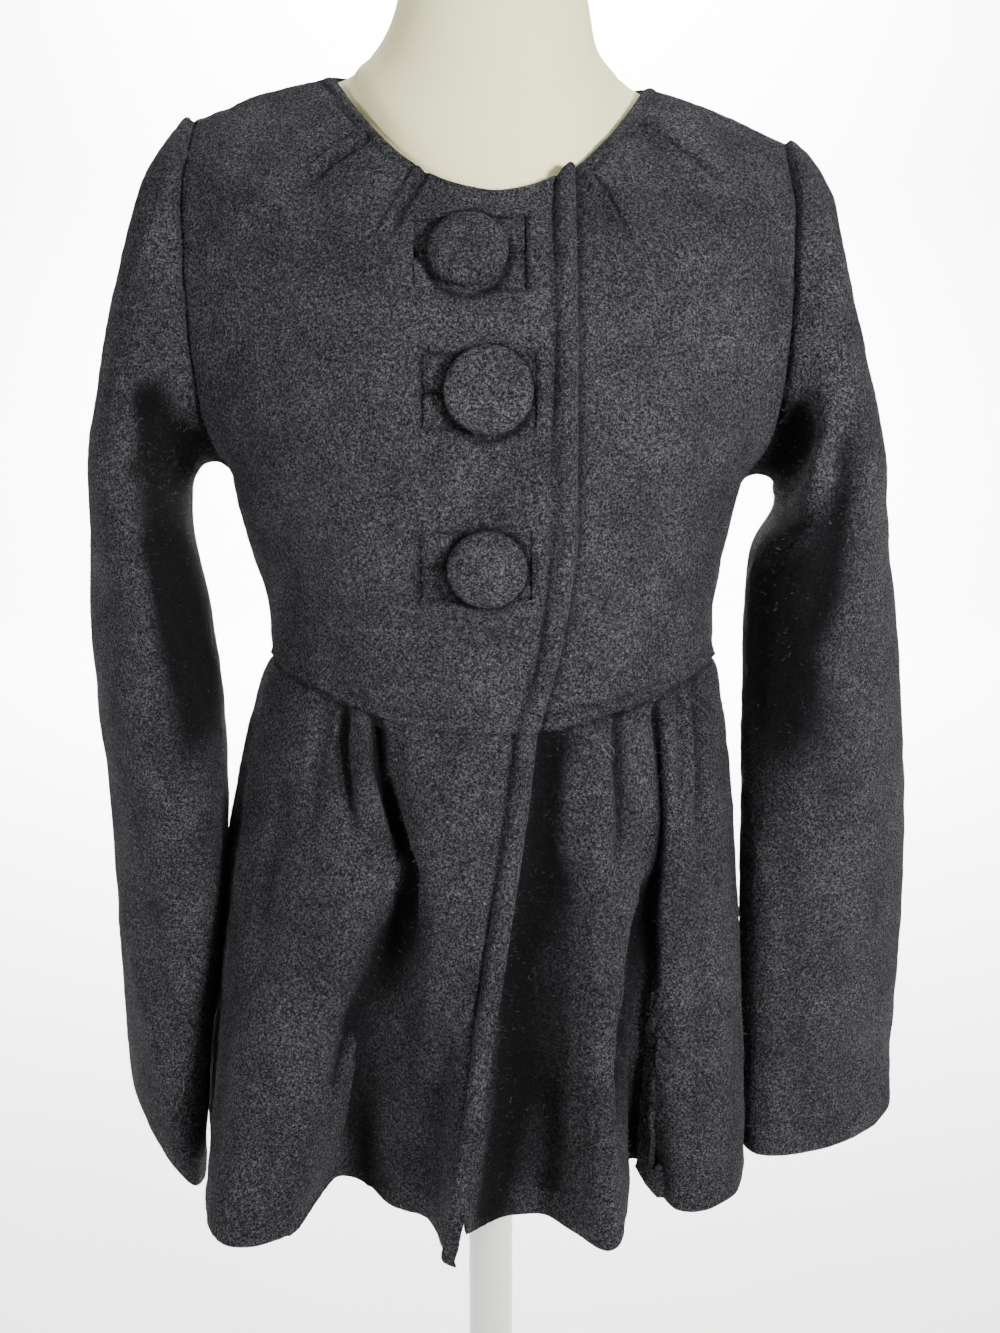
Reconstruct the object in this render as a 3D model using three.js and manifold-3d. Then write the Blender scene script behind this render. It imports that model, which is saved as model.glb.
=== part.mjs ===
// A woman's collarless peplum coat of boiled wool, buttoned, on a small limbless dress form.
// Millimetres, +Z up, the coat's front faces -Y. The origin is the centre of the base's underside.
import * as THREE from 'three';
import { mergeVertices } from 'three/addons/utils/BufferGeometryUtils.js';
import Module from 'manifold-3d';

// ---- driving dimensions ----
const wall = 3; // boiled wool
const seamGap = 0.5; // between two pieces that are sewn together
const armholeGap = 0.8; // between a sleeve and its armhole
const lapLift = wall + 0.6; // the right front lies this far out over the left one
const lapFadeFrom = -58; // across the chest, where the lifted front starts to come down
const lapFadeTo = -96;
const bandWidth = 12; // stitched puffy band along the front edge
const bandRaise = 1.4;
const bandRim = 2; // how much of its puff the band keeps at the very edge
const restGap = 0.45; // the form to the cloth at the shoulders
const formClear = 4; // the form to the cloth elsewhere
const settleTilt = 0.037; // the coat sits a little lower on the wearer's left
const settleFrom = 560; // height where that tilt starts
const settleTo = 860; // and where it is whole

// Rows with named columns.
function table(columns, ...rows) {
  return rows.map((row) => Object.fromEntries(row.map((value, k) => [columns[k], value])));
}

// Rows of the bodice from the waist seam up to the neckline. front and back give the centre lines,
// edge the seam that both panels end on: side seam up to 'underarm', armhole up to 'tip', then shoulder.
// turn is how far round a row has come at its edge, in degrees, rise how late it climbs and sway how far
// the row is shifted to the wearer's left.
const bodiceRows = table(
  [
    'at', 'frontZ', 'frontY', 'backZ', 'backY', 'edgeX',
    'edgeZ', 'edgeFrontY', 'edgeBackY', 'sway', 'turn', 'rise',
  ],
  ['waist', 560, -104, 584, 78, 133, 588, 2, 2, 2, 90, 2.4],
  ['rib', 610, -107, 622, 80, 135, 625, 2, 2, 0.5, 90, 2.2],
  ['underbust', 665, -118, 660, 89, 144, 662, 1, 1, -1.8, 90, 2.0],
  ['underarm', 715, -127, 700, 99, 152, 695, 0, 0, -2, 88, 1.8],
  ['bust', 745, -127, 736, 106, 165, 722, -25, 30, -0.5, 66, 1.7],
  ['chest', 775, -121, 776, 111, 171, 765, -38, 50, 0, 50, 1.6],
  ['blade', 800, -112, 818, 109, 174, 815, -38, 52, 0, 44, 1.5],
  ['collarbone', 822, -101, 858, 100, 175, 861, -24, 40, 0, 42, 1.4],
  ['tip', 838, -90, 888, 88, 172, 896, 8, 8, 0, 45, 1.3],
  ['shoulder', 850, -81, 908, 75, 132, 913, 11, 11, 0, 53, 1.25],
  ['neckline', 857, -75, 924, 63, 91, 925, 12, 12, 0, 65, 1.2],
);
const rowOf = (name) => bodiceRows.findIndex((row) => row.at === name);
const underarmRow = rowOf('underarm');
const tipRow = rowOf('tip');
const neckRow = rowOf('neckline');

// Front edges, as their distance past the centre front at the waist seam and at the neckline.
const overEdge = { waist: 27, rib: 40, neck: 47 };
const underEdge = { waist: -44, neck: -46 };

// Folds of the peplum, a row for each crest, valley or seam: where it leaves the waist seam (x),
// where it is at the high hip and where the hem lies.
const rightPeplumFolds = table(
  ['seam', 'hipX', 'hipY', 'hemX', 'hemY', 'hemZ'],
  [27, 12, -132, -20, -170, 274], // front edge
  [14, 0, -132, -26, -155, 275],
  [-2, -14, -130, -31, -134, 277],
  [-36, -34, -123, -40, -116, 277],
  [-52, -48, -107, -62, -101, 277],
  [-62, -58, -103, -88, -86, 287], // deep valley
  [-76, -74, -114, -101, -104, 283],
  [-90, -94, -112, -112, -135, 277],
  [-102, -114, -99, -131, -150, 276], // crest
  [-112, -131, -82, -152, -146, 276],
  [-121, -147, -56, -165, -116, 277],
  [-128, -155, -28, -170, -60, 286],
  [-131, -162, 2, -181, 6, 292], // side seam
);
const leftPeplumFolds = table(
  ['seam', 'hipX', 'hipY', 'hemX', 'hemY', 'hemZ'],
  [-44, -30, -117, -12, -142, 279], // edge under the other front
  [-18, -10, -119, 4, -131, 278],
  [8, 10, -117, 16, -120, 278],
  [30, 28, -112, 32, -115, 277], // shallow valley
  [48, 46, -113, 48, -135, 276],
  [62, 62, -114, 64, -155, 276], // crest
  [74, 75, -107, 75, -145, 276],
  [83, 83, -96, 80, -112, 283],
  [91, 90, -88, 85, -80, 293], // deep valley
  [99, 101, -92, 94, -91, 284],
  [108, 116, -88, 109, -104, 275],
  [119, 133, -72, 131, -102, 275], // crest
  [129, 147, -38, 152, -71, 276],
  [135, 150.5, 2, 159, -5, 277], // side seam
);
const backPeplumFolds = table(
  ['seam', 'hipX', 'hipY', 'hemX', 'hemY', 'hemZ'],
  [-131, -162, 2, -181, 6, 292], // side seam
  [-124, -152, 36, -171, 52, 287],
  [-106, -130, 68, -150, 100, 280], // crest
  [-88, -106, 82, -114, 103, 284], // valley
  [-64, -76, 102, -82, 146, 276], // crest
  [-38, -44, 99, -46, 121, 281], // valley
  [-12, -12, 109, -10, 153, 275], // crest
  [16, 18, 103, 24, 126, 280], // valley
  [44, 48, 106, 58, 148, 275], // crest
  [70, 78, 89, 90, 112, 280], // valley
  [94, 108, 84, 120, 112, 275], // crest
  [121, 138, 50, 145, 60, 276],
  [135, 150.5, 2, 159, -5, 277], // side seam
);
const hipStation = 0.5; // where hipX and hipY stand along the eased drop
const dropEase = 0.7; // the flare opens soon below the seam

// Sleeve sections below the armhole: inner and outer are what the sleeve reaches from the front,
// deep is half its flat width, yaw turns its front towards the body, swing tips the ring about the underarm
// slant is how far the front of a ring hangs below its middle and tip how far its outer side stands
// above it. reach is how far a head ring goes from the underarm, and morph how far it has left the
// armhole's shape for an oval.
const sleeveHead = table(
  ['swing', 'innerRight', 'innerLeft', 'innerZ', 'reachRight', 'reachLeft', 'deep', 'morph'],
  [5, 165, 165, 693, 201, 201, 54, 0.4],
  [11, 168, 168, 692, 178, 178, 58, 0.7],
  [18, 171, 169, 690, 142, 138, 62, 0.85],
  [28, 175, 170, 687, 105, 106, 66, 1],
  [45, 178, 171, 682, 77, 83, 70, 1],
  [65, 179, 170, 675, 65, 72, 72, 1],
);
const rightSleeveTube = table(
  ['z', 'inner', 'outer', 'y', 'deep', 'yaw', 'slant', 'tip'],
  [656, 175, 242, 4, 74, 8, 0, 0],
  [608, 166, 245, 5, 74, 12, 0, 0],
  [559, 161, 243, 5, 73, 14, 0, 0],
  [495, 161, 238, 3, 72, 15, 2, 2],
  [432, 165, 237, 0, 70, 17, 4, 4],
  [374, 170, 236, -4, 69, 19, 6, 7],
  [328, 173, 235, -8, 68, 20, 8, 10],
  [290, 175, 233, -10, 67, 20, 13, 16],
);
const leftSleeveTube = table(
  ['z', 'inner', 'outer', 'y', 'deep', 'yaw', 'slant', 'tip'],
  [656, 156, 242, 4, 74, 10, 0, 0],
  [608, 152, 250, 5, 74, 18, 0, 0],
  [559, 152, 256, 6, 73, 26, 0, 0],
  [495, 153, 262, 8, 72, 34, 0, 0],
  [431, 153, 264, 10, 71, 39, 0, 0],
  [370, 155.5, 264, 11, 70, 42, -1, -1],
  [320, 157, 263, 11, 69, 44, -1, 0],
  [279, 158, 263, 10, 68, 44, -1, 1],
);

const buttons = table(
  ['name', 'x', 'z', 'across'],
  ['top', -11, 823, 43],
  ['middle', 0, 752, 47],
  ['bottom', -1, 658, 43],
);
const windowWide = 60; // bound buttonhole
const windowHigh = 38;
const windowOffset = -3; // its centre lies a little to the side of the button
const slitGap = 0.6;
const shankRadius = 2.5;
const lipThick = 2.2;

// Stitched tucks at the neckline, from the neck seam down: x and z seen from the front.
const tucks = table(
  ['name', 'side', 'topX', 'topZ', 'endX', 'endZ'],
  ['tuck_right_outer', -1, 73, 893, 117, 868],
  ['tuck_right_inner', -1, 45, 868, 67, 822],
  ['tuck_left_inner', 1, 58, 866, 74, 828],
  ['tuck_left_outer', 1, 83, 892, 127, 860],
);
const tuckWide = 7;
const tuckHigh = 1.8;

const formHips = table(
  ['z', 'half', 'front', 'back'],
  [345, 124, -84, 92],
  [352, 130, -90, 98],
  [430, 134, -94, 100],
  [510, 131, -94, 90],
);
const formNeck = table(
  ['middle', 'half', 'front', 'back', 'frontZ', 'sideZ', 'backZ'],
  [-3, 72, -63, 56, 888, 931, 934],
  [-1.2, 62.3, -56, 51, 920, 943, 944],
  [1.2, 56.8, -51, 47, 950, 958, 958],
  [2, 53.3, -48, 45, 976, 976, 976],
  [2, 52, -47, 44, 1004, 1004, 1004],
);
const capThick = 6;
const poleRadius = 14;
const baseRadius = 150;
const baseThick = 18;
const partGap = 0.3; // between the stand's pieces

// ---- materials ----
const wool = new THREE.MeshStandardMaterial({ color: 0x39383b, roughness: 0.95, metalness: 0 });
const woolButton = new THREE.MeshStandardMaterial({ color: 0x343336, roughness: 0.92, metalness: 0 });
const jersey = new THREE.MeshStandardMaterial({ color: 0xe9e5d6, roughness: 0.9, metalness: 0 });
const enamel = new THREE.MeshStandardMaterial({ color: 0xf1efe9, roughness: 0.35, metalness: 0 });

// ---- small tools ----
const degrees = Math.PI / 180;
const vec = (x, y, z) => new THREE.Vector3(x, y, z);
const mix = (a, b, t) => a + (b - a) * t;
const smooth = (a, b, value) => THREE.MathUtils.smoothstep(value, Math.min(a, b), Math.max(a, b));

// A smooth curve through the values of one column, which may have corners at some rows.
function through(values, at, corners = []) {
  const last = values.length - 1;
  const k = Math.min(Math.max(Math.floor(at), 0), last - 1);
  const t = at - k;
  const before = k === 0 || corners.includes(k) ? values[k] : values[k - 1];
  const after = k + 1 === last || corners.includes(k + 1) ? values[k + 1] : values[k + 2];
  const startSlope = (values[k + 1] - before) / (before === values[k] ? 1 : 2);
  const endSlope = (after - values[k]) / (after === values[k + 1] ? 1 : 2);
  const t2 = t * t;
  const t3 = t2 * t;
  return (2 * t3 - 3 * t2 + 1) * values[k] + (t3 - 2 * t2 + t) * startSlope
    + (3 * t2 - 2 * t3) * values[k + 1] + (t3 - t2) * endSlope;
}

// The coat hangs slightly lower on the wearer's left.
function settle(p) {
  p.z -= p.x * settleTilt * smooth(settleFrom, settleTo, p.z);
  return p;
}

// ---- the bodice's surface ----
const column = (name) => bodiceRows.map((row) => row[name]);
const rowColumns = {};
for (const name of Object.keys(bodiceRows[0]).filter((key) => key !== 'at')) {
  rowColumns[name] = column(name);
}
const edgeCorners = [underarmRow, tipRow];

function rowAt(u) {
  const row = {};
  for (const [name, values] of Object.entries(rowColumns)) {
    row[name] = through(values, u, name.startsWith('edge') ? edgeCorners : []);
  }
  return row;
}

// A point on the front or back half: t is 0 at the centre line and 1 or -1 at the seams.
function torsoPoint(isFront, u, t) {
  const row = rowAt(u);
  const end = row.turn * degrees;
  const angle = t * end;
  const centreY = isFront ? row.frontY : row.backY;
  const centreZ = isFront ? row.frontZ : row.backZ;
  const edgeY = isFront ? row.edgeFrontY : row.edgeBackY;
  const climb = 1 - Math.max(Math.cos(Math.min(Math.abs(t), 1) * 90 * degrees), 0) ** row.rise;
  return settle(vec(
    row.sway + row.edgeX * Math.sin(angle) / Math.sin(end),
    edgeY + (centreY - edgeY) * (Math.cos(angle) - Math.cos(end)) / (1 - Math.cos(end)),
    centreZ + (row.edgeZ - centreZ) * climb,
  ));
}

function normalOf(pointAt, u, t, uRange, tRange) {
  const du = 0.02;
  const dt = 0.004;
  const alongU = pointAt(Math.min(u + du, uRange[1]), t).sub(pointAt(Math.max(u - du, uRange[0]), t));
  const alongT = pointAt(u, Math.min(t + dt, tRange[1])).sub(pointAt(u, Math.max(t - dt, tRange[0])));
  return alongT.cross(alongU).normalize();
}

function torsoNormal(isFront, u, t) {
  const n = normalOf((a, b) => torsoPoint(isFront, a, b), u, t, [0, neckRow], [-1, 1]);
  return isFront ? n : n.negate();
}

// At a side or shoulder seam both panels share one normal, so their walls end face to face.
function seamNormal(u, side) {
  return torsoNormal(true, u, side).add(torsoNormal(false, u, side)).normalize();
}

const sharesSeam = (u) => u <= underarmRow || u >= tipRow;

function tForX(u, x) {
  const row = rowAt(u);
  const end = row.turn * degrees;
  return Math.asin(THREE.MathUtils.clamp((x - row.sway) * Math.sin(end) / row.edgeX, -1, 1)) / end;
}

// ---- walls ----
// Closed solid between an outer and an inner grid of points; round grids close on themselves.
function wallGeometry(outer, inner, isRound = false) {
  const rows = outer.length;
  const columns = outer[0].length;
  const positions = [];
  for (const grid of [outer, inner]) {
    for (const row of grid) {
      for (const p of row) positions.push(p.x, p.y, p.z);
    }
  }
  const at = (layer, j, i) => layer * rows * columns + j * columns + (i % columns);
  const triangles = [];
  const quad = (a, b, c, d) => triangles.push(a, b, c, a, c, d);
  const steps = isRound ? columns : columns - 1;
  for (let j = 0; j < rows - 1; j += 1) {
    for (let i = 0; i < steps; i += 1) {
      quad(at(0, j, i), at(0, j, i + 1), at(0, j + 1, i + 1), at(0, j + 1, i));
      quad(at(1, j, i), at(1, j + 1, i), at(1, j + 1, i + 1), at(1, j, i + 1));
    }
  }
  for (let i = 0; i < steps; i += 1) {
    quad(at(0, 0, i), at(1, 0, i), at(1, 0, i + 1), at(0, 0, i + 1));
    quad(at(0, rows - 1, i), at(0, rows - 1, i + 1), at(1, rows - 1, i + 1), at(1, rows - 1, i));
  }
  if (!isRound) {
    for (let j = 0; j < rows - 1; j += 1) {
      quad(at(0, j, 0), at(0, j + 1, 0), at(1, j + 1, 0), at(1, j, 0));
      const e = columns - 1;
      quad(at(0, j, e), at(1, j, e), at(1, j + 1, e), at(0, j + 1, e));
    }
  }
  const geometry = new THREE.BufferGeometry();
  geometry.setAttribute('position', new THREE.Float32BufferAttribute(positions, 3));
  geometry.setIndex(triangles);
  return facingOut(geometry);
}

// Turns a closed mesh right side out when its volume comes out negative.
function facingOut(geometry) {
  const p = geometry.getAttribute('position');
  const index = geometry.getIndex();
  const [a, b, c] = [vec(0, 0, 0), vec(0, 0, 0), vec(0, 0, 0)];
  let volume = 0;
  for (let k = 0; k < index.count; k += 3) {
    a.fromBufferAttribute(p, index.getX(k));
    b.fromBufferAttribute(p, index.getX(k + 1));
    c.fromBufferAttribute(p, index.getX(k + 2));
    volume += a.dot(b.cross(c));
  }
  if (volume < 0) {
    for (let k = 0; k < index.count; k += 3) {
      const first = index.getX(k);
      index.setX(k, index.getX(k + 1));
      index.setX(k + 1, first);
    }
  }
  geometry.computeVertexNormals();
  return geometry;
}

const wasm = await Module();
wasm.setup();

function toManifold(geometry) {
  const bare = geometry.clone();
  bare.deleteAttribute('normal');
  bare.deleteAttribute('uv');
  const merged = mergeVertices(bare, 1e-4);
  return new wasm.Manifold(new wasm.Mesh({
    numProp: 3,
    vertProperties: new Float32Array(merged.getAttribute('position').array),
    triVerts: new Uint32Array(merged.getIndex().array),
  }));
}

function fromManifold(solid) {
  const mesh = solid.getMesh();
  const geometry = new THREE.BufferGeometry();
  geometry.setAttribute('position', new THREE.Float32BufferAttribute(mesh.vertProperties, 3));
  geometry.setIndex([...mesh.triVerts]);
  geometry.computeVertexNormals();
  return geometry;
}

// ---- bodice panels ----
const halfSteps = (from, to, step = 0.5) => {
  const list = [];
  for (let u = from; u < to - 1e-6; u += step) list.push(u);
  list.push(to);
  return list;
};
const bodiceSteps = [...halfSteps(0, neckRow - 0.5), neckRow - 0.25, neckRow];

function overLift(x) {
  return lapLift * smooth(lapFadeTo, lapFadeFrom, x);
}

function edgeX(edge, u) {
  const rib = edge.rib ?? mix(edge.waist, edge.neck, 0.3);
  return through([edge.waist, rib, edge.neck, edge.neck], Math.min(u, 3));
}

const bandColumns = [0, 3, 8, bandWidth, bandWidth + 4]; // distances in from the front edge

// A point of a front panel with its lift, and the wall's two faces there.
function frontFaces(side, u, t, raise) {
  const p = torsoPoint(true, u, t);
  const atSeam = Math.abs(t) > 0.999 && sharesSeam(u);
  const n = atSeam ? seamNormal(u, side) : torsoNormal(true, u, t);
  const lift = side < 0 ? overLift(p.x) : 0;
  const shift = atSeam ? -seamGap / 2 : 0;
  const outer = p.clone().addScaledVector(n, lift + raise);
  const inner = p.clone().addScaledVector(n, lift - wall);
  outer.y += shift;
  inner.y += shift;
  return { outer, inner };
}

function frontPanel(side, edge, plainColumns) {
  const outer = [];
  const inner = [];
  for (const u of bodiceSteps) {
    const edgeAt = edgeX(edge, u);
    const outward = Math.sign(-side);
    const list = bandColumns.map((d) => {
      const puff = Math.sin(Math.PI * Math.min((d + bandRim) / (bandWidth + bandRim), 1));
      return { t: tForX(u, edgeAt - outward * d), raise: side < 0 ? bandRaise * puff : 0 };
    });
    const from = list[list.length - 1].t;
    for (let i = 1; i <= plainColumns; i += 1) {
      list.push({ t: mix(from, side, i / plainColumns), raise: 0 });
    }
    const faces = list.map(({ t, raise }) => frontFaces(side, u, t, raise));
    outer.push(faces.map((f) => f.outer));
    inner.push(faces.map((f) => f.inner));
  }
  return wallGeometry(outer, inner);
}

function backPanel(columns) {
  const outer = [];
  const inner = [];
  for (const u of bodiceSteps) {
    const outerRow = [];
    const innerRow = [];
    for (let i = 0; i <= columns; i += 1) {
      const t = mix(-1, 1, i / columns);
      const atSeam = Math.abs(t) > 0.999 && sharesSeam(u);
      const p = torsoPoint(false, u, t);
      const n = atSeam ? seamNormal(u, Math.sign(t)) : torsoNormal(false, u, t);
      if (atSeam) p.y += seamGap / 2;
      outerRow.push(p.clone());
      innerRow.push(p.clone().addScaledVector(n, -wall));
    }
    outer.push(outerRow);
    inner.push(innerRow);
  }
  return wallGeometry(outer, inner);
}

// ---- peplum panels ----
function peplumPlan(folds, isFront) {
  const seamT = folds.map((fold) => tForX(0, fold.seam));
  const pick = (name) => folds.map((fold) => fold[name]);
  const [hipX, hipY, hemX, hemY, hemZ] = ['hipX', 'hipY', 'hemX', 'hemY', 'hemZ'].map(pick);
  return (s, v) => {
    const t = THREE.MathUtils.clamp(through(seamT, s), -1, 1);
    const top = torsoPoint(isFront, 0, t);
    const w = v ** dropEase;
    const near = (1 - w) * (1 - w / hipStation);
    const middle = w * (1 - w) / (hipStation * (1 - hipStation));
    const far = w * (w - hipStation) / (1 - hipStation);
    return vec(
      near * top.x + middle * through(hipX, s) + far * through(hemX, s),
      near * top.y + middle * through(hipY, s) + far * through(hemY, s),
      mix(top.z, through(hemZ, s), v),
    );
  };
}

const lapEaseFrom = 0.1; // down the peplum, where its own folds take over from the lifted front
const lapEaseTo = 0.45;
const peplumDrops = [0, 0.05, 0.12, 0.2, 0.3, 0.41, 0.53, 0.65, 0.77, 0.89, 1];

function peplumPanel(folds, isFront, liftAt, stepsPerFold) {
  const plan = peplumPlan(folds, isFront);
  const last = folds.length - 1;
  const outer = [];
  const inner = [];
  const places = halfSteps(0, last, 1 / stepsPerFold);
  for (const v of peplumDrops) {
    const outerRow = [];
    const innerRow = [];
    for (const s of places) {
      const p = plan(s, v);
      let n = normalOf((a, b) => plan(b, a), v, s, [0, 1], [0, last]);
      if (n.dot(vec(p.x, p.y, 0)) < 0) n.negate();
      const sideSeam = (isFront && s === last) || (!isFront && (s === 0 || s === last));
      if (sideSeam) n = vec(Math.sign(p.x), 0, 0.1).normalize();
      if (v === 0) {
        const t = THREE.MathUtils.clamp(tForX(0, p.x), -1, 1);
        n = sideSeam ? seamNormal(0, Math.sign(p.x)) : torsoNormal(isFront, 0, t);
      }
      const lift = liftAt(p.x) * (1 - smooth(lapEaseFrom, lapEaseTo, v));
      const outerPoint = p.clone().addScaledVector(n, lift);
      const innerPoint = p.clone().addScaledVector(n, lift - wall);
      for (const q of [outerPoint, innerPoint]) {
        if (sideSeam) q.y += (isFront ? -1 : 1) * seamGap / 2;
        if (v === 0) q.z -= seamGap;
      }
      outerRow.push(outerPoint);
      innerRow.push(innerPoint);
    }
    outer.push(outerRow);
    inner.push(innerRow);
  }
  return wallGeometry(outer, inner);
}

// ---- sleeves ----
// The armhole as the sleeve's first ring: up the front from the underarm, over the tip, down the back.
function armholeRing(side) {
  const places = [
    ...halfSteps(underarmRow, tipRow).map((u) => ({ u, isFront: true })),
    ...halfSteps(underarmRow, tipRow).slice(1, -1).reverse().map((u) => ({ u, isFront: false })),
  ];
  return places.map(({ u, isFront }) => {
    const awayFor = (front) => {
      const step = 0.05;
      const a = torsoPoint(front, Math.max(u - step, underarmRow), side);
      const b = torsoPoint(front, Math.min(u + step, tipRow), side);
      const away = b.sub(a).cross(torsoNormal(front, u, side)).normalize();
      const across = torsoPoint(front, u, side).sub(torsoPoint(front, u, side * 0.97));
      return away.dot(across) < 0 ? away.negate() : away;
    };
    const shared = u === underarmRow || u === tipRow;
    const n = shared ? seamNormal(u, side) : torsoNormal(isFront, u, side);
    const away = shared ? awayFor(true).add(awayFor(false)).normalize() : awayFor(isFront);
    const outer = torsoPoint(isFront, u, side).addScaledVector(away, armholeGap);
    return { outer, inner: outer.clone().addScaledVector(n, -wall) };
  });
}

function sleeve(side, tube) {
  const first = armholeRing(side);
  const count = first.length;
  const centre = first.reduce((sum, f) => sum.add(f.outer), vec(0, 0, 0)).divideScalar(count);
  const rings = [];
  for (const ring of sleeveHead) {
    const swing = ring.swing * degrees;
    const half = (side < 0 ? ring.reachRight : ring.reachLeft) / 2;
    const innerX = side < 0 ? ring.innerRight : ring.innerLeft;
    const middle = vec(side * (innerX + Math.sin(swing) * half), 4, ring.innerZ + Math.cos(swing) * half);
    const inward = vec(-side * Math.sin(swing) * half, 0, -Math.cos(swing) * half);
    const forward = vec(0, -ring.deep, 0);
    rings.push({ middle, inward, forward, morph: ring.morph });
  }
  for (const ring of tube) {
    const yaw = ring.yaw * degrees;
    const half = (ring.outer - ring.inner) / 2;
    const thick = Math.sqrt(half ** 2 - (ring.deep * Math.sin(yaw)) ** 2) / Math.cos(yaw);
    rings.push({
      middle: vec(side * (ring.outer + ring.inner) / 2, ring.y, ring.z),
      inward: vec(-side * Math.cos(yaw) * thick, Math.sin(yaw) * thick, -ring.tip),
      forward: vec(-side * Math.sin(yaw) * ring.deep, -Math.cos(yaw) * ring.deep, -ring.slant),
      morph: 1,
    });
  }
  const outer = [first.map((f) => f.outer)];
  for (const { middle, inward, forward, morph } of rings) {
    settle(middle);
    const row = [];
    for (let i = 0; i < count; i += 1) {
      const angle = 2 * Math.PI * i / count;
      const p = middle.clone();
      p.addScaledVector(inward, Math.cos(angle)).addScaledVector(forward, Math.sin(angle));
      const moved = first[i].outer.clone().sub(centre).add(middle);
      row.push(moved.lerp(p, morph));
    }
    outer.push(row);
  }
  const inner = outer.map((row, j) => row.map((p, i) => {
    if (j === 0) return first[i].inner;
    const before = outer[j - 1][i];
    const after = outer[Math.min(j + 1, outer.length - 1)][i];
    const left = row[(i + count - 1) % count];
    const right = row[(i + 1) % count];
    const n = after.clone().sub(before).cross(right.clone().sub(left)).normalize();
    const middle = row.reduce((sum, q) => sum.add(q), vec(0, 0, 0)).divideScalar(count);
    if (n.dot(p.clone().sub(middle)) < 0) n.negate();
    return p.clone().addScaledVector(n, -wall);
  }));
  return wallGeometry(outer, inner, true);
}

// ---- buttons, bound buttonholes and tucks ----
// Finds the place on the front surface that is seen at x and z.
function placeAt(x, z) {
  let low = 0;
  let high = neckRow;
  for (let k = 0; k < 24; k += 1) {
    const u = (low + high) / 2;
    if (torsoPoint(true, u, THREE.MathUtils.clamp(tForX(u, x), -1, 1)).z < z) low = u;
    else high = u;
  }
  return { u: low, t: THREE.MathUtils.clamp(tForX(low, x), -1, 1) };
}

function frontSpot(x, z) {
  const { u, t } = placeAt(x, z);
  const n = torsoNormal(true, u, t);
  const p = torsoPoint(true, u, t);
  return { p, n };
}

// A patch of the right front between two x and two z, from one depth to another below its face.
function frontPatch(x0, x1, z0, z1, low, high, columns = 4) {
  const outer = [];
  const inner = [];
  for (let j = 0; j <= 2; j += 1) {
    const row = [];
    const under = [];
    for (let i = 0; i <= columns; i += 1) {
      const x = mix(x0, x1, i / columns);
      const { p, n } = frontSpot(x, mix(z0, z1, j / 2));
      const lift = overLift(p.x);
      row.push(p.clone().addScaledVector(n, lift + high));
      under.push(p.clone().addScaledVector(n, lift + low));
    }
    outer.push(row);
    inner.push(under);
  }
  return wallGeometry(outer, inner);
}

function windowOf(button) {
  const middle = button.x + windowOffset;
  return {
    x0: middle - windowWide / 2,
    x1: middle + windowWide / 2,
    z0: button.z - windowHigh / 2,
    z1: button.z + windowHigh / 2,
  };
}

function placeOnFront(geometry, x, z) {
  const { p, n } = frontSpot(x, z);
  const turn = new THREE.Quaternion().setFromUnitVectors(vec(0, 0, 1), n);
  geometry.applyQuaternion(turn);
  geometry.translate(p.x, p.y, p.z);
  return geometry;
}

// Turned about the axis that stands on the cloth; zero is the left front's face under it.
function buttonGeometry(across) {
  const r = across / 2;
  const seat = lapLift + 1.2; // the back of the button clears the lips
  const rim = 2.2; // from its back up to its widest
  const dome = 6.5;
  const profile = [
    new THREE.Vector2(0, partGap),
    new THREE.Vector2(shankRadius, partGap),
    new THREE.Vector2(shankRadius, seat),
    new THREE.Vector2(r - 2, seat),
    new THREE.Vector2(r - 0.4, seat + rim * 0.5),
    new THREE.Vector2(r, seat + rim),
  ];
  for (let k = 1; k <= 5; k += 1) {
    const a = k / 5 * 90 * degrees;
    profile.push(new THREE.Vector2(k === 5 ? 0 : r * Math.cos(a) ** 0.8, seat + rim + dome * Math.sin(a)));
  }
  const geometry = new THREE.LatheGeometry(profile, 20);
  geometry.rotateX(Math.PI / 2);
  return geometry;
}

function shankHole(x, z) {
  const drill = new THREE.CylinderGeometry(shankRadius + 0.4, shankRadius + 0.4, 24, 16);
  drill.rotateX(Math.PI / 2);
  return toManifold(placeOnFront(drill, x, z));
}

function welts(button) {
  const w = windowOf(button);
  const inset = 0.4;
  const hole = shankHole(button.x, button.z);
  return [['upper', button.z + slitGap / 2, w.z1 - inset], ['lower', w.z0 + inset, button.z - slitGap / 2]]
    .map(([name, from, to]) => {
      const lip = frontPatch(w.x0 + inset, w.x1 - inset, from, to, -lipThick - 0.3, -0.3, 8);
      return { name: `welt_${button.name}_${name}`, geometry: fromManifold(toManifold(lip).subtract(hole)) };
    });
}

// A soft ridge that lies on its front, from its points moved out.
function tuckRidge(tuck) {
  const steps = 6;
  const outer = [];
  const inner = [];
  const along = vec(tuck.side * (tuck.endX - tuck.topX), 0, tuck.endZ - tuck.topZ).normalize();
  const across = vec(along.z, 0, -along.x);
  const shape = [0.02, 0.75, 1, 0.75, 0.02];
  for (let j = 0; j <= steps; j += 1) {
    const f = j / steps;
    const fade = mix(1, 0.45, smooth(0.5, 1, f));
    const row = [];
    const under = [];
    shape.forEach((high, i) => {
      const off = (i / (shape.length - 1) - 0.5) * tuckWide * fade;
      const x = tuck.side * mix(tuck.topX, tuck.endX, f) + across.x * off;
      const z = mix(tuck.topZ, tuck.endZ, f) + across.z * off;
      const { p, n } = frontSpot(x, z);
      const lift = (tuck.side < 0 ? overLift(p.x) : 0) + partGap + 0.15;
      row.push(p.clone().addScaledVector(n, lift + 0.4 + tuckHigh * high * fade));
      under.push(p.clone().addScaledVector(n, lift));
    });
    outer.push(row);
    inner.push(under);
  }
  return wallGeometry(outer, inner);
}

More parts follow.
